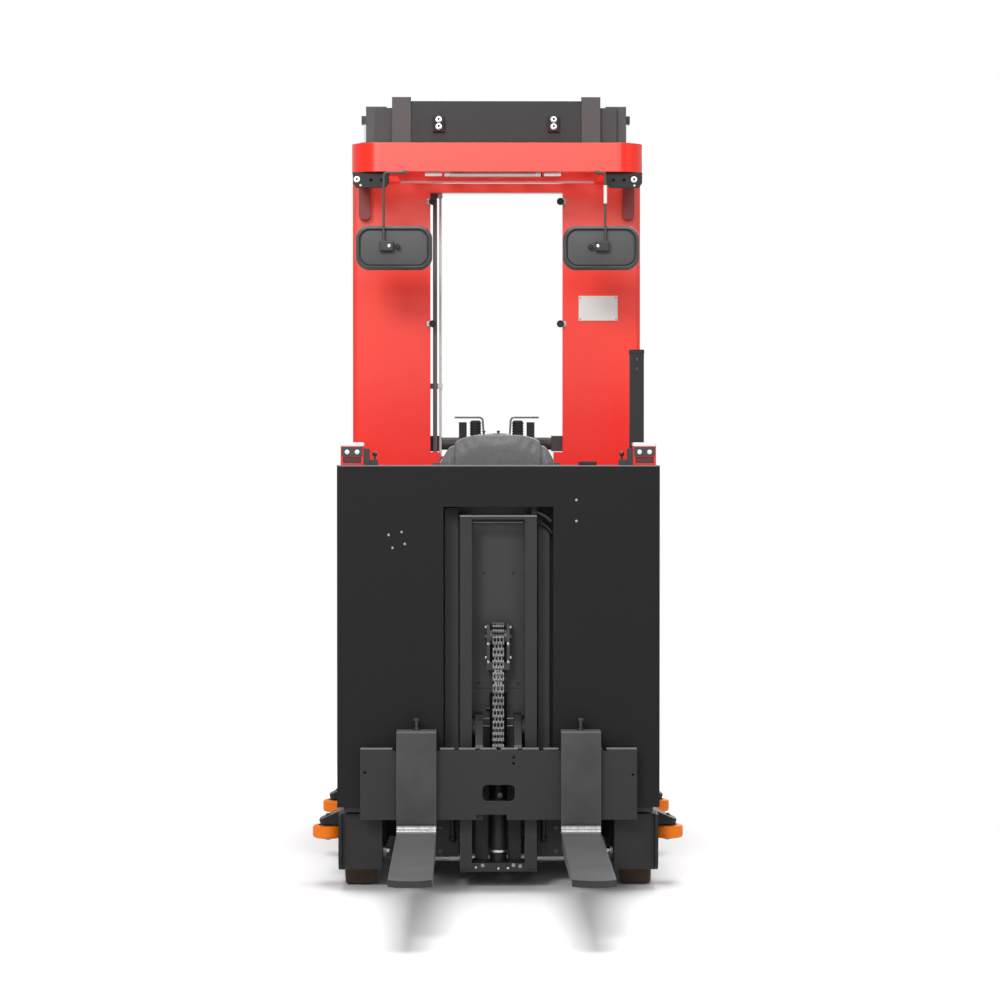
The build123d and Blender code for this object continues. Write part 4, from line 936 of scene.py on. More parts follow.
class Repeats:
    """Places fasteners and rows with the two trees."""

    def __init__(self) -> None:
        """Builds both trees once."""
        self.heads = fastener_tree()
        self.rows = row_tree()

    def fasten(self, name: str, body: str, points: Sequence[Point], facing: Facing,
               kind: Fastener = Fastener.SOCKET, factor: float = 1.0,
               finish: Finish = ZINC) -> bpy.types.Object:
        """Puts one head on each point.

        Args:
            name: The piece's name.
            body: The body that it moves with.
            points: Where the heads sit, on the surface that they clamp.
            facing: Which way they point.
            kind: The kind of head.
            factor: Its size against an 8 mm thread.
            finish: What it is dressed in.

        Returns:
            The heads as one piece.
        """
        base = bpy.data.meshes.new(name)
        base.from_pydata([tuple(point) for point in points], [], [])
        head = kind.value.scaled(factor)
        values = {
            "Sides": head.sides, "Radius": head.radius, "Height": head.height, "Crown": head.crown,
            "Crown share": head.crown_share, "Socket share": head.socket_share,
            "Socket depth": head.socket_depth, "Washer radius": head.washer,
            "Washer height": 0.0014 * factor, "Turn": facing.value,
        }
        # Each socket head also gets a near-black hex plug low in its socket: painted shade in the socket.
        if kind is Fastener.SOCKET:
            depth = head.socket_depth
            well = {**values, "Sides": 6, "Radius": head.radius * head.socket_share * 0.98,
                    "Height": depth * 0.3,
                    "Crown": depth * 0.02, "Socket depth": depth * 0.05, "Washer radius": head.radius * 0.2,
                    "Washer height": head.height + head.crown + 0.0014 * factor - depth * 0.9}
            self.heads.grow(name + "_sockets", base.copy(), HOLE_SHADE_BLACK, body, well)
        return self.heads.grow(name, base, finish, body, values)

    def row(self, name: str, body: str, form: Form, count: int, step: Point,
            finish: Finish) -> bpy.types.Object:
        """Repeats a form along a line.

        Args:
            name: The piece's name.
            body: The body that it moves with.
            form: The first copy, in its place.
            count: How many copies.
            step: From one to the next.
            finish: What they are dressed in.

        Returns:
            The row as one piece.
        """
        return self.rows.grow(name, form.closed(name), finish, body, {"Count": count, "Step": step})

    def fasten_sides(self, name: str, body: str, points: Sequence[Point], kind: Fastener, factor: float,
                     finish: Finish = ZINC, inward: bool = False) -> None:
        """Puts heads on the right side's points and on their twins on the left.

        Args:
            name: The pieces' name, before the side's.
            body: The body that they move with.
            points: Where the right side's heads sit.
            kind: The kind of head.
            factor: Its size against an 8 mm thread.
            finish: What they are dressed in.
            inward: Whether they face the middle of the truck.
        """
        for side, label in SIDES:
            facing = Facing.RIGHT if (side > 0) != inward else Facing.LEFT
            places = [(side * x, y, z) for x, y, z in points]
            self.fasten(f"{name}_{label}", body, places, facing, kind, factor, finish)


KNOB_PROFILE = ((0.002, 0.0), (0.0105, 0.0), (0.012, 0.003), (0.012, 0.013), (0.0095, 0.017), (0.002, 0.0185))
HOLE_SHADE_PROFILE = ((0.0005, -0.0002), (0.0052, -0.0002), (0.0058, 0.0006), (0.0005, 0.0006))
BULB_PROFILE = ((0.0006, 0.0), (0.0008, -0.0042), (0.0045, -0.0034), (0.0072, 0.0))
STOP_PROFILE = ((0.001, 0.012), (0.019, 0.012), (0.0205, 0.016), (0.0185, 0.021), (0.001, 0.0235))
STOP_RING_PROFILE = ((0.013, -0.001), (0.024, -0.001), (0.024, 0.0025), (0.013, 0.0025))
GRIP_RING_PROFILE = ((0.0165, 0.0), (0.019, 0.001), (0.0195, 0.003), (0.019, 0.005), (0.0165, 0.006))
BARREL_BAND_PROFILE = ((0.0285, -0.004), (0.031, -0.0035), (0.031, 0.0035), (0.0285, 0.004))


def quarter_turn(side: int, y: float, x: float, z: float, radius: float, way: int) -> List[Point]:
    """A bend from upright to level in a plane across the truck.

    Args:
        side: 1 on the right side of the truck, -1 on its left.
        y: The plane.
        x: Distance of the bend's centre from the middle.
        z: Height of its centre.
        radius: Its radius.
        way: 1 where the upright leg is outside, -1 where it is inside.

    Returns:
        Its points, from the upright leg on.
    """
    turns = [math.radians(turn) for turn in range(0, 91, 15)]
    return [(side * (x + way * radius * math.cos(turn)), y, z + radius * math.sin(turn)) for turn in turns]


def both_sides(points: Sequence[Point]) -> List[Point]:
    """The points with their twins on the other side of the truck."""
    return [*points, *[(-x, y, z) for x, y, z in points]]


def dress_nodes() -> None:
    """Gives every construction node its finish."""
    for row in frame["record"]["subparts"]:
        node = row["node"]
        finish = NODE_FINISHES.get(node) or SLOT_FINISHES.get(row["material_slot"])
        if node.startswith(("load_wheel", "guide_roller")) or node == "drive_wheel":
            finish = wheel_finish(node)
        mesh = frame["nodes"][node].data
        mesh.materials.clear()
        mesh.materials.append(finish.material())


def wheel_finish(node: str) -> Finish:
    """The tread and core of one wheel, centred on its own axle."""
    low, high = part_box(node)
    centre = tuple((low + high) / 2)
    if node.startswith("guide_roller"):
        return Tread("tread_" + node, "orange_tread", (0.8, 0.17, 0.0), (0.06, 0.06, 0.06), Axis.Z, centre,
                     0.03, 0.12)
    core = 0.07 if node.startswith("load") else 0.12
    return Tread("tread_" + node, "dark_tread", (0.05, 0.026, 0.015), (0.16, 0.16, 0.16), Axis.X, centre,
                 core)


@dataclass
class Details:
    """A group of fittings, placed with the trees that all groups share."""

    repeats: Repeats


@dataclass
class MastDetails(Details):
    """Fasteners and seams of the main mast."""

    bolt_inset: float = 0.019
    bolt_heights: Flat = (0.0175, 0.041)
    bead_radius: float = 0.004
    bead_x: float = 0.291
    bead_y: float = 0.326
    bead_count: int = 22
    bead_pitch: float = 0.0058
    beam_drop: float = 0.145
    tie_x: Flat = (0.30, 0.34)
    tie_heights: Flat = (0.035, 0.095)
    tie_drop: float = 0.104

    def build(self) -> None:
        """Adds the details."""
        low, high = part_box("stop_blocks")
        bolts = [(high.x - self.bolt_inset, low.y, low.z + height) for height in self.bolt_heights]
        self.repeats.fasten("stop_bolts", "inner_stage", both_sides(bolts), Facing.FORKS, factor=1.22)
        self._weld_beads(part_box("inner_mast")[1].z - self.beam_drop)
        self._tie_bolts()

    def _weld_beads(self, bottom: float) -> None:
        """Runs a rippled bead up each end of the crossbeam."""
        seams = Form()
        for side in (-1, 1):
            for index in range(self.bead_count):
                place = (side * self.bead_x, self.bead_y, bottom + index * self.bead_pitch)
                seams.ball(place, self.bead_radius, (1.0, 0.7, 0.95))
        seams.piece("crossbeam_welds", UPRIGHT, "inner_stage")

    def _tie_bolts(self) -> None:
        """Bolts the outer stage's ties and feet."""
        low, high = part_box("outer_mast")
        lower = [(x, high.y, low.z + z) for x in self.tie_x for z in self.tie_heights]
        upper = [(x, high.y, high.z - self.tie_drop - z) for x in self.tie_x for z in self.tie_heights]
        self.repeats.fasten("mast_tie_bolts", "chassis", both_sides([*lower, *upper]), Facing.TAIL,
                            Fastener.HEX, 1.4, STEEL)


@dataclass
class ChassisDetails(Details):
    """Hardware of the legs, guide arms, covers and tail."""

    axle_bolt: Point = (0.352, -0.36, 0.105)
    leg_bolts_y: Point = (-0.42, -0.16, 0.02)
    arm_top: float = 0.2055
    vent_count: int = 12
    vent_pitch: float = 0.022
    vent_half: float = 0.12
    vent_z: float = 0.78
    handle_z: float = 0.64
    handle_bends: Tuple[Flat, ...] = ((-0.07, -0.002), (-0.068, 0.003), (-0.055, 0.0035),
                                      (0.055, 0.0035), (0.068, 0.003), (0.07, -0.002))
    lamp_z: Flat = (0.64, 0.672)
    tail_vent_z: float = 0.5

    def build(self) -> None:
        """Adds the hardware."""
        self._legs()
        self._guides()
        self._covers()
        self._tail()

    def _legs(self) -> None:
        """Bolts on the axle caps and the leg tops."""
        low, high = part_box("leg_right")
        self.repeats.fasten_sides("axle_bolts", "chassis", [self.axle_bolt], Fastener.HEX, 1.3, inward=True)
        tops = [(x, y, high.z) for x in (low.x + 0.025, high.x - 0.05) for y in self.leg_bolts_y]
        self.repeats.fasten("leg_top_bolts", "chassis", both_sides(tops), Facing.UP, Fastener.BUTTON, 1.0,
                            DARK_STEEL)

    def _guides(self) -> None:
        """Nuts on the roller pins and screws through the arms."""
        boxes = [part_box(node) for node in ("guide_roller_front_right", "guide_roller_rear_right")]
        centres = [(low + high) / 2 for low, high in boxes]
        nuts = [(place.x, place.y, self.arm_top) for place in centres]
        self.repeats.fasten("roller_pin_nuts", "chassis", both_sides(nuts), Facing.UP, Fastener.NUT, 1.4,
                            DARK_STEEL)
        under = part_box("guide_arms")[0].z + 0.0015
        heads = [(place.x, place.y, under) for place in centres]
        self.repeats.fasten("roller_pin_heads", "chassis", both_sides(heads), Facing.DOWN, Fastener.BUTTON,
                            0.9, STEEL)

    @staticmethod
    def _slat(face: float, out: int, z: float, root: float, reach: float) -> List[Flat]:
        """One louvre's outline, rooted in a face and leaning out of it."""
        return [(face - out * root, z), (face + out * 0.0005, z + 0.001), (face + out * reach, z + 0.011),
                (face - out * root, z + 0.015)]

    def _covers(self) -> None:
        """Louvres, handles and screws of the battery cover."""
        low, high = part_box("battery_cover")
        middle = (low.y + high.y) / 2
        for side, label in SIDES:
            x = side * high.x
            slat = Form().prism(self._slat(x, side, self.vent_z, 0.001, 0.004), Axis.Y,
                                (middle - self.vent_half, middle + self.vent_half))
            self.repeats.row(f"battery_louvres_{label}", "chassis", slat, self.vent_count,
                             (0.0, 0.0, self.vent_pitch), FRAME)
            bends = [(x + side * out, middle + along, self.handle_z) for along, out in self.handle_bends]
            Form().sweep(bends, 0.0035).piece(f"cover_handle_{label}", STEEL, "chassis")
        corners = [(high.x, y, z) for y in (low.y + 0.05, high.y - 0.04)
                   for z in (low.z + 0.05, high.z - 0.08)]
        self.repeats.fasten_sides("cover_screws", "chassis", corners, Fastener.BUTTON, 0.8, DARK_STEEL)

    def _tail(self) -> None:
        """The lamp and louvres of the tail cover."""
        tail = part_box("tail_cover")[1].y
        bottom, top = self.lamp_z
        lamp = Form().block((-0.06, tail - 0.003, bottom), (0.06, tail + 0.004, top), 0.003, 3)
        lamp.piece("tail_lamp", RED_LENS, "chassis")
        slat = Form().prism(self._slat(tail, 1, self.tail_vent_z, 0.002, 0.0045), Axis.X, (-0.2, 0.2))
        self.repeats.row("tail_louvres", "chassis", slat, 6, (0.0, 0.0, 0.02), RED)


@dataclass
class CabinDetails(Details):
    """Plates, lamps, knobs, controls and small hardware of the cabin."""

    post_y: float = 0.2
    bumper_x: float = 0.212
    bumper_heights: Flat = (2.192, 1.786)
    plate_centre: Flat = (0.338, 1.838)
    plate_half: Flat = (0.065, 0.0415)
    plate_thickness: float = 0.0012
    rivet_inset: float = 0.006
    guard_bottom: float = 2.255
    gusset_setback: float = 0.0275
    eye_places: Flat = (0.37, 0.404)
    eye_z: float = 2.23
    panel_holes: Tuple[Flat, ...] = PANEL_HOLES
    roof_lamp_axis: Flat = (-0.2125, 2.247)
    roof_lamp_ring: float = 0.0073
    lamp_span: Flat = (0.418, 0.489)
    recess_y: float = -0.4
    recess_top: float = 1.1935
    recess_wall: float = 0.171
    hose_bend: float = 0.114
    hose_radius: float = 0.007
    mat_half: float = 0.36
    console_top: float = 1.325
    stop_x: float = -0.165
    wire_radius: float = 0.0032
    wire_bend: float = 0.012
    grip_x: float = 0.07
    grip_bottom: float = 1.365
    cap_over: float = 0.001
    cap_length: float = 0.012
    cap_end: float = 0.003

    def build(self) -> None:
        """Adds everything to the cabin."""
        self._bumpers()
        self._blank_plate()
        self._gussets()
        self._panel_screws()
        self._roof_lamp()
        self._lamps()
        self._recess()
        self._floor()
        self._console()
        self._gate_caps()

    def _bumpers(self) -> None:
        """Rubber knobs on tabs at the window's edges."""
        knobs, tabs = Form(), Form()
        for z in self.bumper_heights:
            tabs.block((0.203, self.post_y - 0.003, z - 0.009), (0.232, self.post_y, z + 0.009), 0.0012)
            knobs.lathe(KNOB_PROFILE, (self.bumper_x, self.post_y - 0.0205, z), Axis.Y, 28)
        tabs.mirrored().piece("bumper_tabs", STEEL, "cabin")
        knobs.mirrored().piece("bumper_knobs", RUBBER, "cabin")

    def _blank_plate(self) -> None:
        """The bare data plate with its rivets on the right post."""
        x, z = self.plate_centre
        half_x, half_z = self.plate_half
        front = self.post_y - self.plate_thickness
        plate = Form().block((x - half_x, front, z - half_z), (x + half_x, self.post_y, z + half_z), 0.0004)
        plate.piece("data_plate", PLATE_WHITE, "cabin")
        rivet_x, rivet_z = half_x - self.rivet_inset, half_z - self.rivet_inset
        rivets = [(x + i * rivet_x, front, z + j * rivet_z) for i in (-1, 1) for j in (-1, 1)]
        self.repeats.fasten("plate_rivets", "cabin", rivets, Facing.FORKS, Fastener.RIVET, 0.6, STEEL)

    def _gussets(self) -> None:
        """The dark corner plates under the guard, with two holes each shown as near-black discs of painted
        shade, and their bolts.
        """
        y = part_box("overhead_guard")[0].y + self.gusset_setback
        bottom = self.guard_bottom
        outline = [(0.346, bottom), (0.346, bottom - 0.034), (0.358, bottom - 0.05), (0.452, bottom - 0.05),
                   (0.462, bottom - 0.034), (0.462, bottom)]
        plates = Form().prism(outline, Axis.Y, (y, y + 0.006), 0.0008)
        plates.mirrored().piece("guard_corner_plates", FRAME, "cabin")
        # Near-black discs on the plates' front: painted shade standing in for the holes.
        hole_shades = Form()
        for x in self.eye_places:
            hole_shades.lathe(HOLE_SHADE_PROFILE, (x, y, self.eye_z), Axis.Y, 24)
        hole_shades.mirrored().piece("corner_plate_hole_shades", HOLE_SHADE_BLACK, "cabin")
        bolts = [(-0.449, y, 2.232), (0.436, y, 2.232)]
        self.repeats.fasten("corner_bolts", "cabin", bolts, Facing.FORKS, factor=1.15)
        self.repeats.fasten("corner_screws", "cabin", both_sides([(0.437, y, 2.213)]), Facing.FORKS,
                            Fastener.BUTTON, 0.55)

    def _panel_screws(self) -> None:
        """Bright thread ends in the small holes of the front panel."""
        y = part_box("front_panel")[0].y + 0.0016
        self.repeats.fasten("panel_threads", "cabin", [(x, y, z) for x, z in self.panel_holes], Facing.FORKS,
                            Fastener.RIVET, 0.95, STEEL)
        latch = Form().block((0.248, y + 0.016, 1.3215), (0.305, y + 0.028, 1.334), 0.002)
        latch.piece("panel_latch", FRAME, "cabin")

    def _roof_lamp(self) -> None:
        """Dark end caps and white brackets of the lamp under the guard."""
        y, z = self.roof_lamp_axis
        caps = Form()
        for x in (-0.168, -0.158, 0.128, 0.138):
            caps.rod((x, y, z), (x + 0.0045, y, z), self.roof_lamp_ring, 28, 0.0006)
        caps.piece("roof_lamp_rings", RUBBER, "cabin")
        plates = Form()
        for x in (-0.232, 0.148):
            plates.block((x, y - 0.004, z - 0.004), (x + 0.055, y + 0.012, z + 0.0078), 0.0012)
        plates.piece("roof_lamp_brackets", WHITE_LAMP, "cabin")

    def _lamps(self) -> None:
        """Lenses, caps and faces of the two lamp housings."""
        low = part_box("light_boxes")[0]
        y, z = low.y, low.z
        inner, outer = self.lamp_span
        faces = Form().block((inner + 0.003, y - 0.0012, z + 0.028), (outer - 0.003, y, z + 0.056), 0.0005)
        faces.mirrored().piece("lamp_faces", PLASTIC, "cabin")
        caps = Form().block((inner - 0.001, y - 0.003, z + 0.0585), (outer + 0.001, y + 0.064, z + 0.0705),
                            0.0015)
        caps.mirrored().piece("lamp_caps", WHITE_LAMP, "cabin")
        bulbs = Form()
        for x in (inner + 0.02, outer - 0.02):
            bulbs.lathe(BULB_PROFILE, (x, y - 0.0012, z + 0.041), Axis.Y, 28)
        bulbs.mirrored().piece("lamp_bulbs", CLEAR_LENS, "cabin")
        wide = Form().block((inner + 0.0095, y + 0.0008, z + 0.0075),
                            (outer - 0.0095, y + 0.0065, z + 0.0245), 0.0015)
        wide.mirrored().piece("lamp_wide_lenses", RED_LENS, "cabin")

    def _recess(self) -> None:
        """Screws, cross pieces and seams in the recess behind the second mast."""
        y = self.recess_y
        screws = [(-0.044, y, 0.982), (0.047, y, 0.982), (-0.06, y, 0.636), (0.063, y, 0.636)]
        self.repeats.fasten("recess_screws", "cabin", screws, Facing.FORKS, Fastener.BUTTON, 0.55, DARK_STEEL)
        cross = Form()
        cross.block((-0.074, y - 0.006, 0.498), (0.074, y, 0.529), 0.0012)
        cross.block((-0.08, y - 0.002, 0.6195), (0.08, y, 0.622), 0.0005)
        cross.piece("recess_cross_plate", MAST, "cabin")
        bars = Form()
        for low_z, high_z in ((0.5, 0.5035), (0.5235, 0.527), (1.1405, 1.143)):
            bars.block((-0.0795, y - 0.0085, low_z), (0.0795, y - 0.004, high_z), 0.0008)
        bars.piece("recess_bars", STEEL, "cabin")
        self._hoses()

    def _hoses(self) -> None:
        """Two bent hoses from the recess's roof to its right wall."""
        hoses, unions = Form(), Form()
        for y, middle_x, middle_z, start in ((-0.495, 0.085, 1.067, 75), (-0.45, 0.074, 1.046, 59)):
            angles = [math.radians(turn) for turn in range(start, 24, -5)]
            bend = [(middle_x + self.hose_bend * math.cos(angle), y,
                     middle_z + self.hose_bend * math.sin(angle))
                    for angle in angles]
            hoses.sweep([point for point in bend if point[0] < self.recess_wall], self.hose_radius, 18)
            x, z = bend[0][0], bend[0][2]
            unions.block((x - 0.012, y - 0.009, z - 0.01), (x + 0.006, y + 0.009, self.recess_top), 0.002)
        hoses.piece("recess_hoses", HOSE, "cabin")
        unions.piece("recess_hose_unions", RUBBER, "cabin")

    def _floor(self) -> None:
        """A ribbed mat and two pedals on the cabin floor."""
        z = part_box("cab_floor")[1].z
        half = self.mat_half
        Form().block((-half, -0.08, z), (half, 0.17, z + 0.006), 0.002).piece("floor_mat", RUBBER, "cabin")
        rib = Form().block((0.01 - half, -0.0735, z + 0.0055), (half - 0.01, -0.0695, z + 0.0085), 0.0008, 1)
        self.repeats.row("floor_mat_ribs", "cabin", rib, 20, (0.0, 0.0125, 0.0), RUBBER)
        pedals = Form()
        wedge = [(-0.075, z + 0.008), (0.03, z + 0.008), (0.03, z + 0.014), (-0.075, z + 0.03)]
        for x in (-0.13, 0.13):
            pedals.prism(wedge, Axis.X, (x - 0.06, x + 0.06), 0.002)
        pedals.piece("pedals", PLASTIC, "cabin")

    def _console(self) -> None:
        """A screen, buttons and a stop button on the operator's side of the console."""
        y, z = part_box("console")[0].y, self.console_top
        screen = Form().block((-0.075, y + 0.03, z - 0.001), (0.03, y + 0.095, z + 0.005), 0.002)
        screen.piece("console_screen", SCREEN, "cabin")
        caps = Form()
        for row in (0.045, 0.065):
            for x in (0.145, 0.163):
                caps.rod((x, y + row, z - 0.001), (x, y + row, z + 0.006), 0.006, 24, 0.0012)
        caps.piece("console_buttons", RUBBER, "cabin")
        place = (self.stop_x, y + 0.06, z)
        stop = Form().rod((*place[:2], z - 0.001), (*place[:2], z + 0.012), 0.011, 24)
        stop.lathe(STOP_PROFILE, place, Axis.Z, 32)
        stop.piece("stop_button", STOP_RED, "cabin")
        Form().lathe(STOP_RING_PROFILE, place, Axis.Z, 32).piece("stop_ring", YELLOW, "cabin")
        self._grips()
        self._wires()

    def _wires(self) -> None:
        """The bent wire hand guards, up beside each grip and out to a free end."""
        low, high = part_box("hand_guards")
        y = (low.y + high.y) / 2
        top = high.z - 0.0035
        wires = Form()
        for side in (-1, 1):
            bend = quarter_turn(side, y, 0.058, top - self.wire_bend, self.wire_bend, -1)
            wires.sweep([(side * 0.037, y, low.z + 0.001), *bend, (side * 0.139, y, top)], self.wire_radius,
                        16)
        made = wires.piece("hand_guard_wires", WIRE, "cabin")
        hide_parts("hand_guards")

    def _grips(self) -> None:
        """Rubber rings down each hand grip."""
        low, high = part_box("hand_grips")
        y = (low.y + high.y) / 2
        for side, name in reversed(SIDES):
            ring = Form().lathe(GRIP_RING_PROFILE, (side * self.grip_x, y, self.grip_bottom), Axis.Z, 28)
            self.repeats.row(f"grip_rings_{name}", "cabin", ring, 11, (0.0, 0.0, 0.0088), RUBBER)

    def _gate_caps(self) -> None:
        """End caps and bolts of the two side gates, the right one up and the left one down."""
        for node, body, raised in (("gate_right", "right_gate", True), ("gate_left", "left_gate", False)):
            low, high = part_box(node)
            middle = (low + high) / 2
            over = Vector((self.cap_over,) * 3)
            first, last = low - over, high + over
            if raised:
                first.z, last.z = high.z - self.cap_length, high.z + self.cap_end
                bolts = [(middle.x, low.y, high.z - 0.03), (middle.x, low.y, high.z - 0.06)]
                face = Facing.FORKS
            else:
                first.y, last.y = high.y - self.cap_length, high.y + self.cap_end
                bolts = [(middle.x, high.y - 0.03, high.z), (middle.x, high.y - 0.06, high.z)]
                face = Facing.UP
            Form().block(first, last, 0.002).piece(f"{node}_cap", RUBBER, body)
            self.repeats.fasten(f"{node}_bolts", body, bolts, face, Fastener.BUTTON, 0.8, DARK_STEEL)


@dataclass
class Mirrors(Details):
    """Moulded mirror heads with a raised rim, a clamp and a glass on the operator's side."""

    corner: float = 0.034
    clamp_z: float = 2.016
    bend_z: float = 2.249
    bend_radius: float = 0.012
    rod_radius: float = 0.0042
    glass_bulge: float = 0.004

    def build(self) -> None:
        """Builds both mirrors over their construction nodes."""
        for node in ("mirror_right", "mirror_left"):
            low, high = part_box(node)
            shell = self._shell(low, high)
            made = shell.piece(node + "_shell", MIRROR_BACK, "cabin")
            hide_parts(node)
            self._glass(low, high).piece(node + "_glass", MIRROR_GLASS, "cabin")
        arm_y = self._arms()
        clamps = [(0.318, arm_y, self.clamp_z), (-0.345, arm_y, self.clamp_z)]
        self.repeats.fasten("mirror_clamp_bolts", "cabin", clamps, Facing.FORKS, Fastener.BUTTON, 0.75)
        knuckles = Form()
        for x in (0.296, -0.318):
            knuckles.rod((x, arm_y + 0.004, 2.014), (x, arm_y + 0.024, 2.014), 0.0085, 24, 0.002)
        knuckles.piece("mirror_knuckles", RUBBER, "cabin")
        sleeve = Form().rod((0.342, arm_y + 0.009, 2.15), (0.342, arm_y + 0.009, 2.21), 0.0055, 24, 0.0012)
        sleeve.piece("mirror_arm_sleeve", WHITE_LAMP, "cabin")

    def _arms(self) -> float:
        """Each thin rod, with its foot on the guard and its clamp on the mirror, over the construction node.

        Returns:
            Y of the clamps' front.
        """
        low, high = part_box("mirror_arms")
        mirror_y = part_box("mirror_left")[0].y
        bend_z, clamp_z = self.bend_z, self.clamp_z
        front = low.y + 0.002
        y = front + 0.0085
        arms = Form()
        for side, drop_x, foot_x in ((-1, 0.362, 0.296), (1, 0.342, 0.316)):
            foot = side * foot_x
            knee = quarter_turn(side, y, drop_x - self.bend_radius, bend_z - self.bend_radius,
                                self.bend_radius, 1)
            arms.sweep([(side * drop_x, y, clamp_z - 0.008), *knee, (foot, y, bend_z)], self.rod_radius, 18)
            arms.block((foot - 0.007, y - self.rod_radius, bend_z - 0.0045),
                       (foot + 0.007, high.y, bend_z + 0.0065), 0.0012)
            middle = side * (drop_x - 0.009)
            arms.block((middle - 0.022, front, clamp_z - 0.016),
                       (middle + 0.022, mirror_y + 0.004, clamp_z + 0.016), 0.002)
        made = arms.piece("mirror_arm_rods", ARM_ROD, "cabin")
        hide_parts("mirror_arms")
        return front

    def _outline(self, low: Vector, high: Vector, inset: float, steps: int = 7) -> List[Flat]:
        """A slightly barrelled rectangle with round corners, as (x, z) points."""
        centre_x, centre_z = (low.x + high.x) / 2, (low.z + high.z) / 2
        half_w, half_h = (high.x - low.x) / 2 - inset, (high.z - low.z) / 2 - inset
        radius = max(self.corner - inset * 0.6, 0.006)
        points = []
        for sign_x, sign_z, start in ((1, 1, 0), (-1, 1, 90), (-1, -1, 180), (1, -1, 270)):
            for step in range(steps + 1):
                angle = math.radians(start + 90 * step / steps)
                x = sign_x * (half_w - radius) + radius * math.cos(angle)
                z = sign_z * (half_h - radius) + radius * math.sin(angle)
                barrel = 0.004 * (1 - (z / half_h) ** 2)
                arch = 0.009 * (x / half_w) ** 2
                points.append((centre_x + x + math.copysign(barrel, x) - math.copysign(0.004, x),
                               centre_z + z - math.copysign(arch, z)))
        return points

    def _shell(self, low: Vector, high: Vector) -> Form:
        """The moulded back: rim, step down and a flat field, then the edge round to the glass."""
        depth = high.y - low.y
        levels = [(0.0, depth * 0.95), (0.0, depth * 0.42), (0.002, depth * 0.22), (0.005, depth * 0.1),
                  (0.0085, depth * 0.03), (0.0105, depth * 0.06), (0.0122, depth * 0.28), (0.0136,
                                                                                           depth * 0.28),
                  (0.0155, depth * 0.15), (0.019, depth * 0.13)]
        form = Form()
        rings = []
        for inset, station in levels:
            ring = [form.mesh.verts.new((x, low.y + station, z)) for x, z in self._outline(low, high, inset)]
            rings.append(ring)
        form.skin(rings, caps=True)
        return form

    def _glass(self, low: Vector, high: Vector) -> Form:
        """A gently domed glass set in the rear of the shell."""
        form = Form()
        rings = []
        for inset, bulge in ((0.004, -0.002), (0.004, 0.0), (0.03, self.glass_bulge * 0.5),
                             (0.055, self.glass_bulge * 0.9)):
            y = high.y - 0.004 + bulge
            rings.append([form.mesh.verts.new((x, y, z)) for x, z in self._outline(low, high, inset)])
        form.skin(rings, caps=True)
        return form


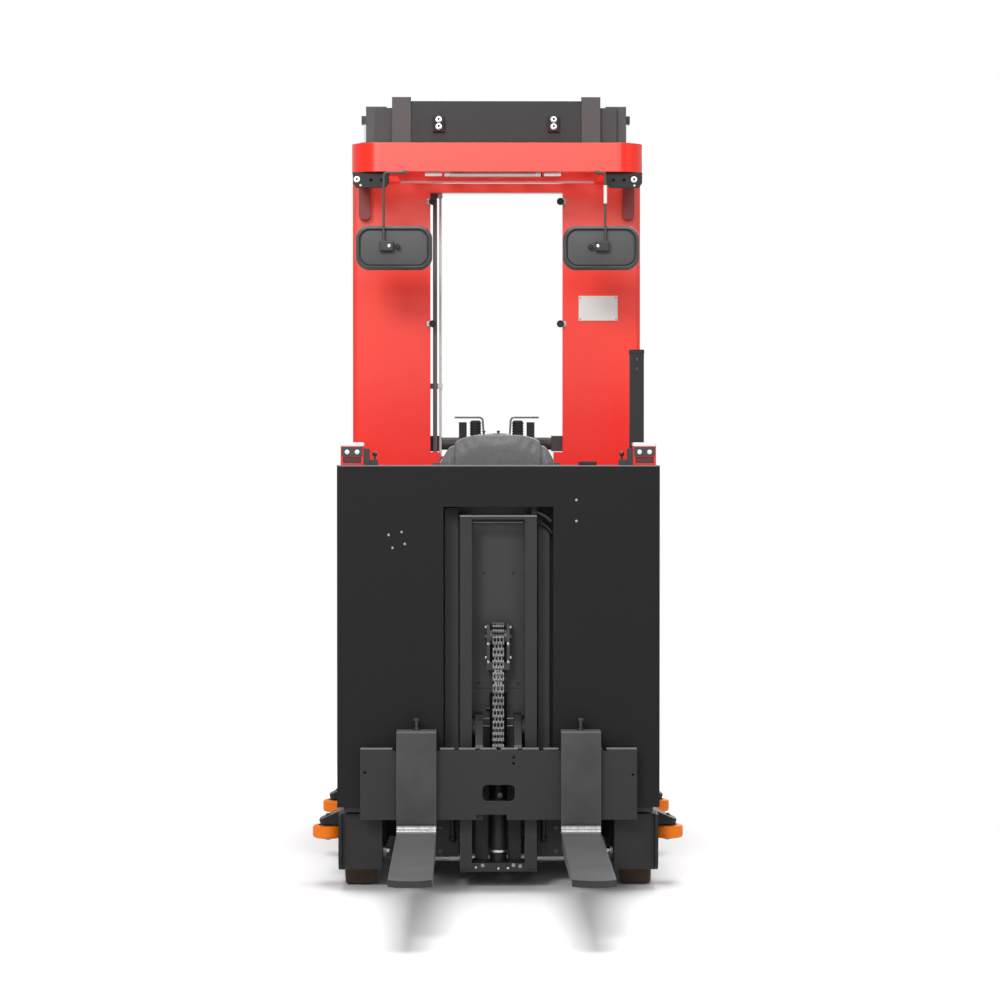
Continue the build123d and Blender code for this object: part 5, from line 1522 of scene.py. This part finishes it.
@dataclass
class SeatPadding:
    """The padded back and cushion, blown up by cloth simulation and then seamed."""

    voxel: float = 0.006
    pressure: float = 4.0
    frames: int = 20
    cap: float = 0.009
    start_scale: float = 0.972
    groove: float = 0.006
    bolster_x: float = 0.142

    def build(self) -> None:
        """Makes both pads."""
        back = self._pad("seat_back", 0.75)
        self._groove_back(back)
        cushion = self._pad("seat_cushion", 0.8)
        self._groove_cushion(cushion)
        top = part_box("seat_back")[1]
        studs = Form()
        for x in (-0.044, 0.002):
            studs.rod((x, top.y - 0.045, top.z - 0.03), (x, top.y - 0.045, top.z - 0.004), 0.003, 16)
            studs.ball((x, top.y - 0.045, top.z - 0.004), 0.0055, (1.0, 1.0, 0.7))
        studs.piece("seat_studs", DARK_STEEL, "cabin")

    def _pad(self, node: str, fill: float) -> bpy.types.Object:
        """One pad from its construction solid.

        Args:
            node: The solid that it replaces.
            fill: How tight it is stuffed; not used.

        Returns:
            The pad, riding on the cabin.
        """
        source = frame["nodes"][node].data.copy()
        low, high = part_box(node)
        middle = (low + high) / 2
        soft = bmesh.new()
        soft.from_mesh(source)
        bmesh.ops.remove_doubles(soft, verts=soft.verts[:], dist=1e-5)
        for vertex in soft.verts:
            vertex.co = middle + (vertex.co - middle) * self.start_scale
        mesh = bpy.data.meshes.new(node + "_pad")
        soft.to_mesh(mesh)
        soft.free()
        pad = bpy.data.objects.new(node + "_pad", mesh)
        bpy.context.scene.collection.objects.link(pad)
        remesh = pad.modifiers.new("even_skin", "REMESH")
        remesh.mode = "VOXEL"
        remesh.voxel_size = self.voxel
        self._apply(pad)
        rest = [vertex.co.copy() for vertex in pad.data.vertices]
        self._inflate(pad)
        for vertex, start in zip(pad.data.vertices, rest):
            move = vertex.co - start
            if move.length > self.cap:
                vertex.co = start + move.normalized() * self.cap
        finer = pad.modifiers.new("finer", "SUBSURF")
        finer.levels = finer.render_levels = 1
        self._apply(pad)
        mesh = pad.data
        bpy.data.objects.remove(pad)
        made = adopt(node + "_pad", mesh, SEAT, "cabin")
        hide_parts(node)
        return made

    def _inflate(self, pad: bpy.types.Object) -> None:
        """Runs the cloth for a few frames under pressure."""
        cloth = pad.modifiers.new("stuffing", "CLOTH")
        settings = cloth.settings
        settings.use_pressure = True
        settings.uniform_pressure_force = self.pressure
        settings.effector_weights.gravity = 0.0
        settings.quality = 5
        cloth.point_cache.frame_start = 1
        cloth.point_cache.frame_end = self.frames
        for number in range(1, self.frames + 1):
            bpy.context.scene.frame_set(number)
        self._apply(pad)
        bpy.context.scene.frame_set(1)

    @staticmethod
    def _apply(pad: bpy.types.Object) -> None:
        """Keeps what the modifiers show as the pad's own mesh."""
        bpy.context.view_layer.update()
        seen = pad.evaluated_get(bpy.context.evaluated_depsgraph_get())
        mesh = bpy.data.meshes.new_from_object(seen)
        pad.modifiers.clear()
        pad.data = mesh

    def _press(self, pad: bpy.types.Object, depth_at: Callable[[Vector], float]) -> None:
        """Moves each point inwards along its normal by the depth at its place."""
        normals = [vertex.normal.copy() for vertex in pad.data.vertices]
        for vertex, normal in zip(pad.data.vertices, normals):
            vertex.co = vertex.co - normal * depth_at(vertex.co)
        pad.data.update()

    def _groove_back(self, pad: bpy.types.Object) -> None:
        """Two upright seams beside the bolsters and one across the shoulder."""
        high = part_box("seat_back")[1]

        def depth(place: Vector) -> float:
            """The seams' depth at a place."""
            upright = sum(math.exp(-((place.x - side * self.bolster_x) / 0.006) ** 2) for side in (-1, 1))
            across = math.exp(-((place.z - (high.z - 0.15)) / 0.005) ** 2) * (abs(place.x) < self.bolster_x)
            return self.groove * min(upright + across * 0.6, 1.0)

        self._press(pad, depth)

    def _groove_cushion(self, pad: bpy.types.Object) -> None:
        """A seam round the top and two across it."""
        low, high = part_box("seat_cushion")
        middle = (low + high) / 2

        def depth(place: Vector) -> float:
            """The seams' depth at a place."""
            if place.z < high.z - 0.035:
                return 0.0
            sides = math.exp(-((abs(place.x) - self.bolster_x) / 0.006) ** 2)
            across = math.exp(-((place.y - middle.y) / 0.006) ** 2) * (abs(place.x) < self.bolster_x)
            return self.groove * min(sides + across * 0.7, 1.0)

        self._press(pad, depth)


@dataclass
class LeafChain(Details):
    """The second mast's leaf chain: a run that shortens with the lift, and a stub on the carriage."""

    pitch: float = 0.019
    width: float = 0.036
    plate: float = 0.004
    height: float = 0.0165
    wheel_z: float = 0.785
    anchor_z: float = 0.352
    axis_y: float = -0.444
    wheel_radius: float = 0.038
    travel: float = 0.3

    def build(self) -> None:
        """Makes the run, the part round the wheel, and the stub."""
        y = self.axis_y - self.wheel_radius
        count = int((self.wheel_z - self.anchor_z) / self.pitch) + 1
        run = self._straight(y, self.wheel_z, count, 1.0)
        made = run.piece("lift_chain_run", CHAIN_STEEL, "rod_head")
        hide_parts("lift_chain")
        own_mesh(made)
        self._over_wheel().piece("lift_chain_over_wheel", CHAIN_STEEL, "rod_head")
        stub = self._straight(y, self.anchor_z + 7 * self.pitch, 8, 0.97)
        stub.piece("lift_chain_stub", CHAIN_STEEL, "fork_unit")

    def _straight(self, y: float, top: float, count: int, share: float) -> Form:
        """A straight run of waisted leaves on pins, hanging from its top."""
        form = Form()
        for index in range(count):
            z = top - index * self.pitch
            half = self.width / 2 * share
            form.rod((-half, y, z), (half, y, z), 0.0042 * share, 14, 0.0006)
            wide = index % 2 == 0
            stations = (-0.0155, -0.0052, 0.0052, 0.0155) if wide else (-0.0103, 0.0, 0.0103)
            for station in stations:
                self._leaf(form, station, y, z - self.pitch / 2, share)
        return form

    def _leaf(self, form: Form, x: float, y: float, z: float, share: float) -> None:
        """One figure-of-eight leaf between two pins."""
        half_plate = self.plate / 2 * share
        half_height = self.height / 2 * share
        outline = []
        for end, start in ((1, 0), (-1, 180)):
            centre = z + end * self.pitch / 2
            for step in range(7):
                angle = math.radians(start + 180 * step / 6)
                outline.append((y + half_height * math.cos(angle),
                                centre + half_height * math.sin(angle) * 0.98))
            outline.append((y - end * half_height * 0.78, z))
        form.prism(outline, Axis.X, (x - half_plate, x + half_plate), 0.0004, 1)

    def _over_wheel(self) -> Form:
        """Links round the top of the chain wheel and down its rear."""
        form = Form()
        steps = int(math.pi * self.wheel_radius / self.pitch)
        for index in range(1, steps + 4):
            angle = math.pi * min(index / steps, 1.0)
            drop = max(index - steps, 0) * self.pitch
            y = self.axis_y - self.wheel_radius * math.cos(angle)
            z = self.wheel_z + self.wheel_radius * math.sin(angle) - drop
            form.rod((-self.width / 2, y, z), (self.width / 2, y, z), 0.0042, 14, 0.0006)
            for station in (-0.0155, -0.0103, -0.0052, 0.0, 0.0052, 0.0103, 0.0155):
                form.rod((station - 0.0019, y, z), (station + 0.0019, y, z), self.height / 2, 16, 0.0004)
        return form


@dataclass
class ForkHardware(Details):
    """Fasteners of the second mast, its crosshead, the carriage and the forks."""

    barrel_y: float = -0.444
    foot_plate_y: float = -0.422

    def build(self) -> None:
        """Adds the hardware."""
        low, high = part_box("crosshead")
        cheeks = [(0.031, low.y, 0.764), (0.031, low.y, 0.708)]
        self.repeats.fasten("crosshead_bolts", "rod_head", both_sides(cheeks), Facing.FORKS, Fastener.SOCKET,
                            0.5)
        pins = [(high.x - 0.006, self.barrel_y, 0.72), (high.x - 0.006, self.barrel_y, 0.815)]
        self.repeats.fasten_sides("crosshead_pins", "rod_head", pins, Fastener.HEX, 0.8)
        feet = [(0.182, self.foot_plate_y, 0.184), (0.182, self.foot_plate_y, 0.109)]
        self.repeats.fasten("foot_plate_bolts", "cabin", both_sides(feet), Facing.FORKS, Fastener.HEX, 0.95,
                            DARK_STEEL)
        self.repeats.fasten("chain_anchor_nut", "fork_unit", [(0.004, -0.575, 0.302)], Facing.FORKS,
                            Fastener.NUT, 0.85, DARK_STEEL)
        band = Form().lathe(BARREL_BAND_PROFILE, (0.0, self.barrel_y, 0.115), Axis.Z, 40)
        band.piece("barrel_band", ZINC, "cabin")
        self._base_fittings()

    def _base_fittings(self) -> None:
        """Hose unions under the second cylinder."""
        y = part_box("aux_mast")[0].y + 0.006
        unions = [(-0.049, y, 0.076), (0.047, y, 0.077), (0.068, y, 0.074)]
        self.repeats.fasten("base_unions", "cabin", unions, Facing.FORKS, Fastener.NUT, 0.62, STEEL)
        screws = [(-0.07, y, 0.07), (0.03, y, 0.068), (0.0, y, 0.067)]
        self.repeats.fasten("base_screws", "cabin", screws, Facing.FORKS, Fastener.HEX, 0.42, ZINC)


@dataclass
class Studio:
    """The floor, the lights, the pale surroundings and the camera."""

    eye: Point = (-0.085, -10.34, 1.4)
    target: Point = (0.0048, -0.54, 1.2143)
    focal: float = 113.98
    sensor: float = 36.0
    floor_half: float = 40.0
    shadow_reach: Flat = (1.25, 2.9)

    def build(self) -> None:
        """Sets up the studio."""
        self._world()
        self._floor()
        self._lamp("key", (-2.4, -8.6, 4.9), (0.0, 0.0, 1.2), (2.0, 1.6), 330.0)
        self._lamp("wall", (0.5, -13.0, 5.2), (0.0, 0.0, 1.4), (9.0, 4.0), 330.0)
        self._lamp("side", (5.5, -3.5, 3.6), (0.0, 0.0, 1.0), (2.5, 2.5), 16.0)
        self._lamp("top", (0.0, 0.2, 6.5), (0.0, 0.0, 0.0), (4.5, 5.5), 470.0)
        self._lamp("rear", (1.5, 7.0, 4.0), (0.0, 0.0, 1.2), (3.5, 2.5), 190.0)
        self._camera()
        view = bpy.context.scene.view_settings
        view.view_transform = "Standard"

    def _seen_share(self, builder: TreeBuilder) -> Value:
        """1 on rays from the camera, mirrors and glass, 0 on light that is bounced."""
        rays = builder.node("ShaderNodeLightPath").outputs
        camera, glossy, through = (Value(builder, rays[name])
                                   for name in ("Is Camera Ray", "Is Glossy Ray", "Is Transmission Ray"))
        total = builder.node("ShaderNodeMath", {"operation": "MINIMUM"},
                             {0: camera + glossy + through, 1: 1.0})
        return Value(builder, total.outputs[0])

    def _world(self) -> None:
        """White where it is seen, softer where it lights."""
        world = bpy.data.worlds.new("studio")
        bpy.context.scene.world = world
        world.use_nodes = True
        builder = TreeBuilder(world.node_tree)
        world.node_tree.nodes.clear()
        seen = builder.node("ShaderNodeBackground", None, {"Color": (1.0, 1.0, 1.0, 1.0), "Strength": 1.0})
        light = builder.node("ShaderNodeBackground", None, {"Color": (0.98, 0.99, 1.0, 1.0),
                                                            "Strength": 0.35})
        share = self._seen_share(builder)
        both = builder.node("ShaderNodeMixShader", None, {0: share, 1: light.outputs[0], 2: seen.outputs[0]})
        builder.node("ShaderNodeOutputWorld", None, {"Surface": both.outputs[0]})

    def _floor(self) -> None:
        """A plain white floor that keeps the truck's shadow and goes over into the white beyond."""
        surface = Surface("studio_floor")
        cloud = surface.noise(0.6, 2.0)
        white = surface.mix(cloud, (0.93, 0.93, 0.93), (0.95, 0.95, 0.95))
        floor = surface.node("ShaderNodeBsdfDiffuse", None, {"Color": white})
        beyond = surface.node("ShaderNodeBsdfTransparent")
        squeezed = surface.stretched((1 / self.shadow_reach[0], 1 / self.shadow_reach[1], 0.0))
        distance = surface.node("ShaderNodeVectorMath", {"operation": "LENGTH"},
                                {0: squeezed}).outputs["Value"]
        fade = surface.value(distance).span(0.75, 1.5)
        both = surface.node("ShaderNodeMixShader", None, {0: fade, 1: floor.outputs[0], 2: beyond.outputs[0]})
        surface.node("ShaderNodeOutputMaterial", None, {"Surface": both.outputs[0]})
        half = self.floor_half
        mesh = bpy.data.meshes.new("floor")
        mesh.from_pydata([(-half, -half, 0.0), (half, -half, 0.0), (half, half, 0.0), (-half, half, 0.0)], [],
                         [(0, 1, 2, 3)])
        mesh.materials.append(surface.material)
        floor = bpy.data.objects.new("floor", mesh)
        bpy.context.scene.collection.objects.link(floor)

    @staticmethod
    def _aim(made: bpy.types.Object, place: Point, target: Point) -> None:
        """Puts a lamp or the camera in its place, looking at a point."""
        made.location = place
        made.rotation_euler = (Vector(target) - Vector(place)).to_track_quat("-Z", "Y").to_euler()

    def _lamp(self, name: str, place: Point, target: Point, size: Flat, power: float) -> None:
        """One soft rectangular lamp."""
        data = bpy.data.lights.new(name, "AREA")
        data.shape = "RECTANGLE"
        data.size, data.size_y = size
        data.energy = power
        made = bpy.data.objects.new(name, data)
        bpy.context.scene.collection.objects.link(made)
        self._aim(made, place, target)

    def _camera(self) -> None:
        """The photograph's viewpoint: far off, low and a little to the left."""
        data = bpy.data.cameras.new("camera")
        data.lens = self.focal
        data.sensor_width = self.sensor
        data.clip_end = 200.0
        made = bpy.data.objects.new("camera", data)
        bpy.context.scene.collection.objects.link(made)
        self._aim(made, self.eye, self.target)
        bpy.context.scene.camera = made


def main() -> None:
    """Dresses the truck piece by piece and sets up the studio."""
    logging.basicConfig(level=logging.INFO, format="%(name)s %(message)s")
    dress_nodes()
    repeats = Repeats()
    for group in (MastDetails, ChassisDetails, CabinDetails, Mirrors, LeafChain, ForkHardware):
        LOG.info("building %s", group.__name__)
        group(repeats).build()
    SeatPadding().build()
    Studio().build()


if __name__ == "__main__":
    main()
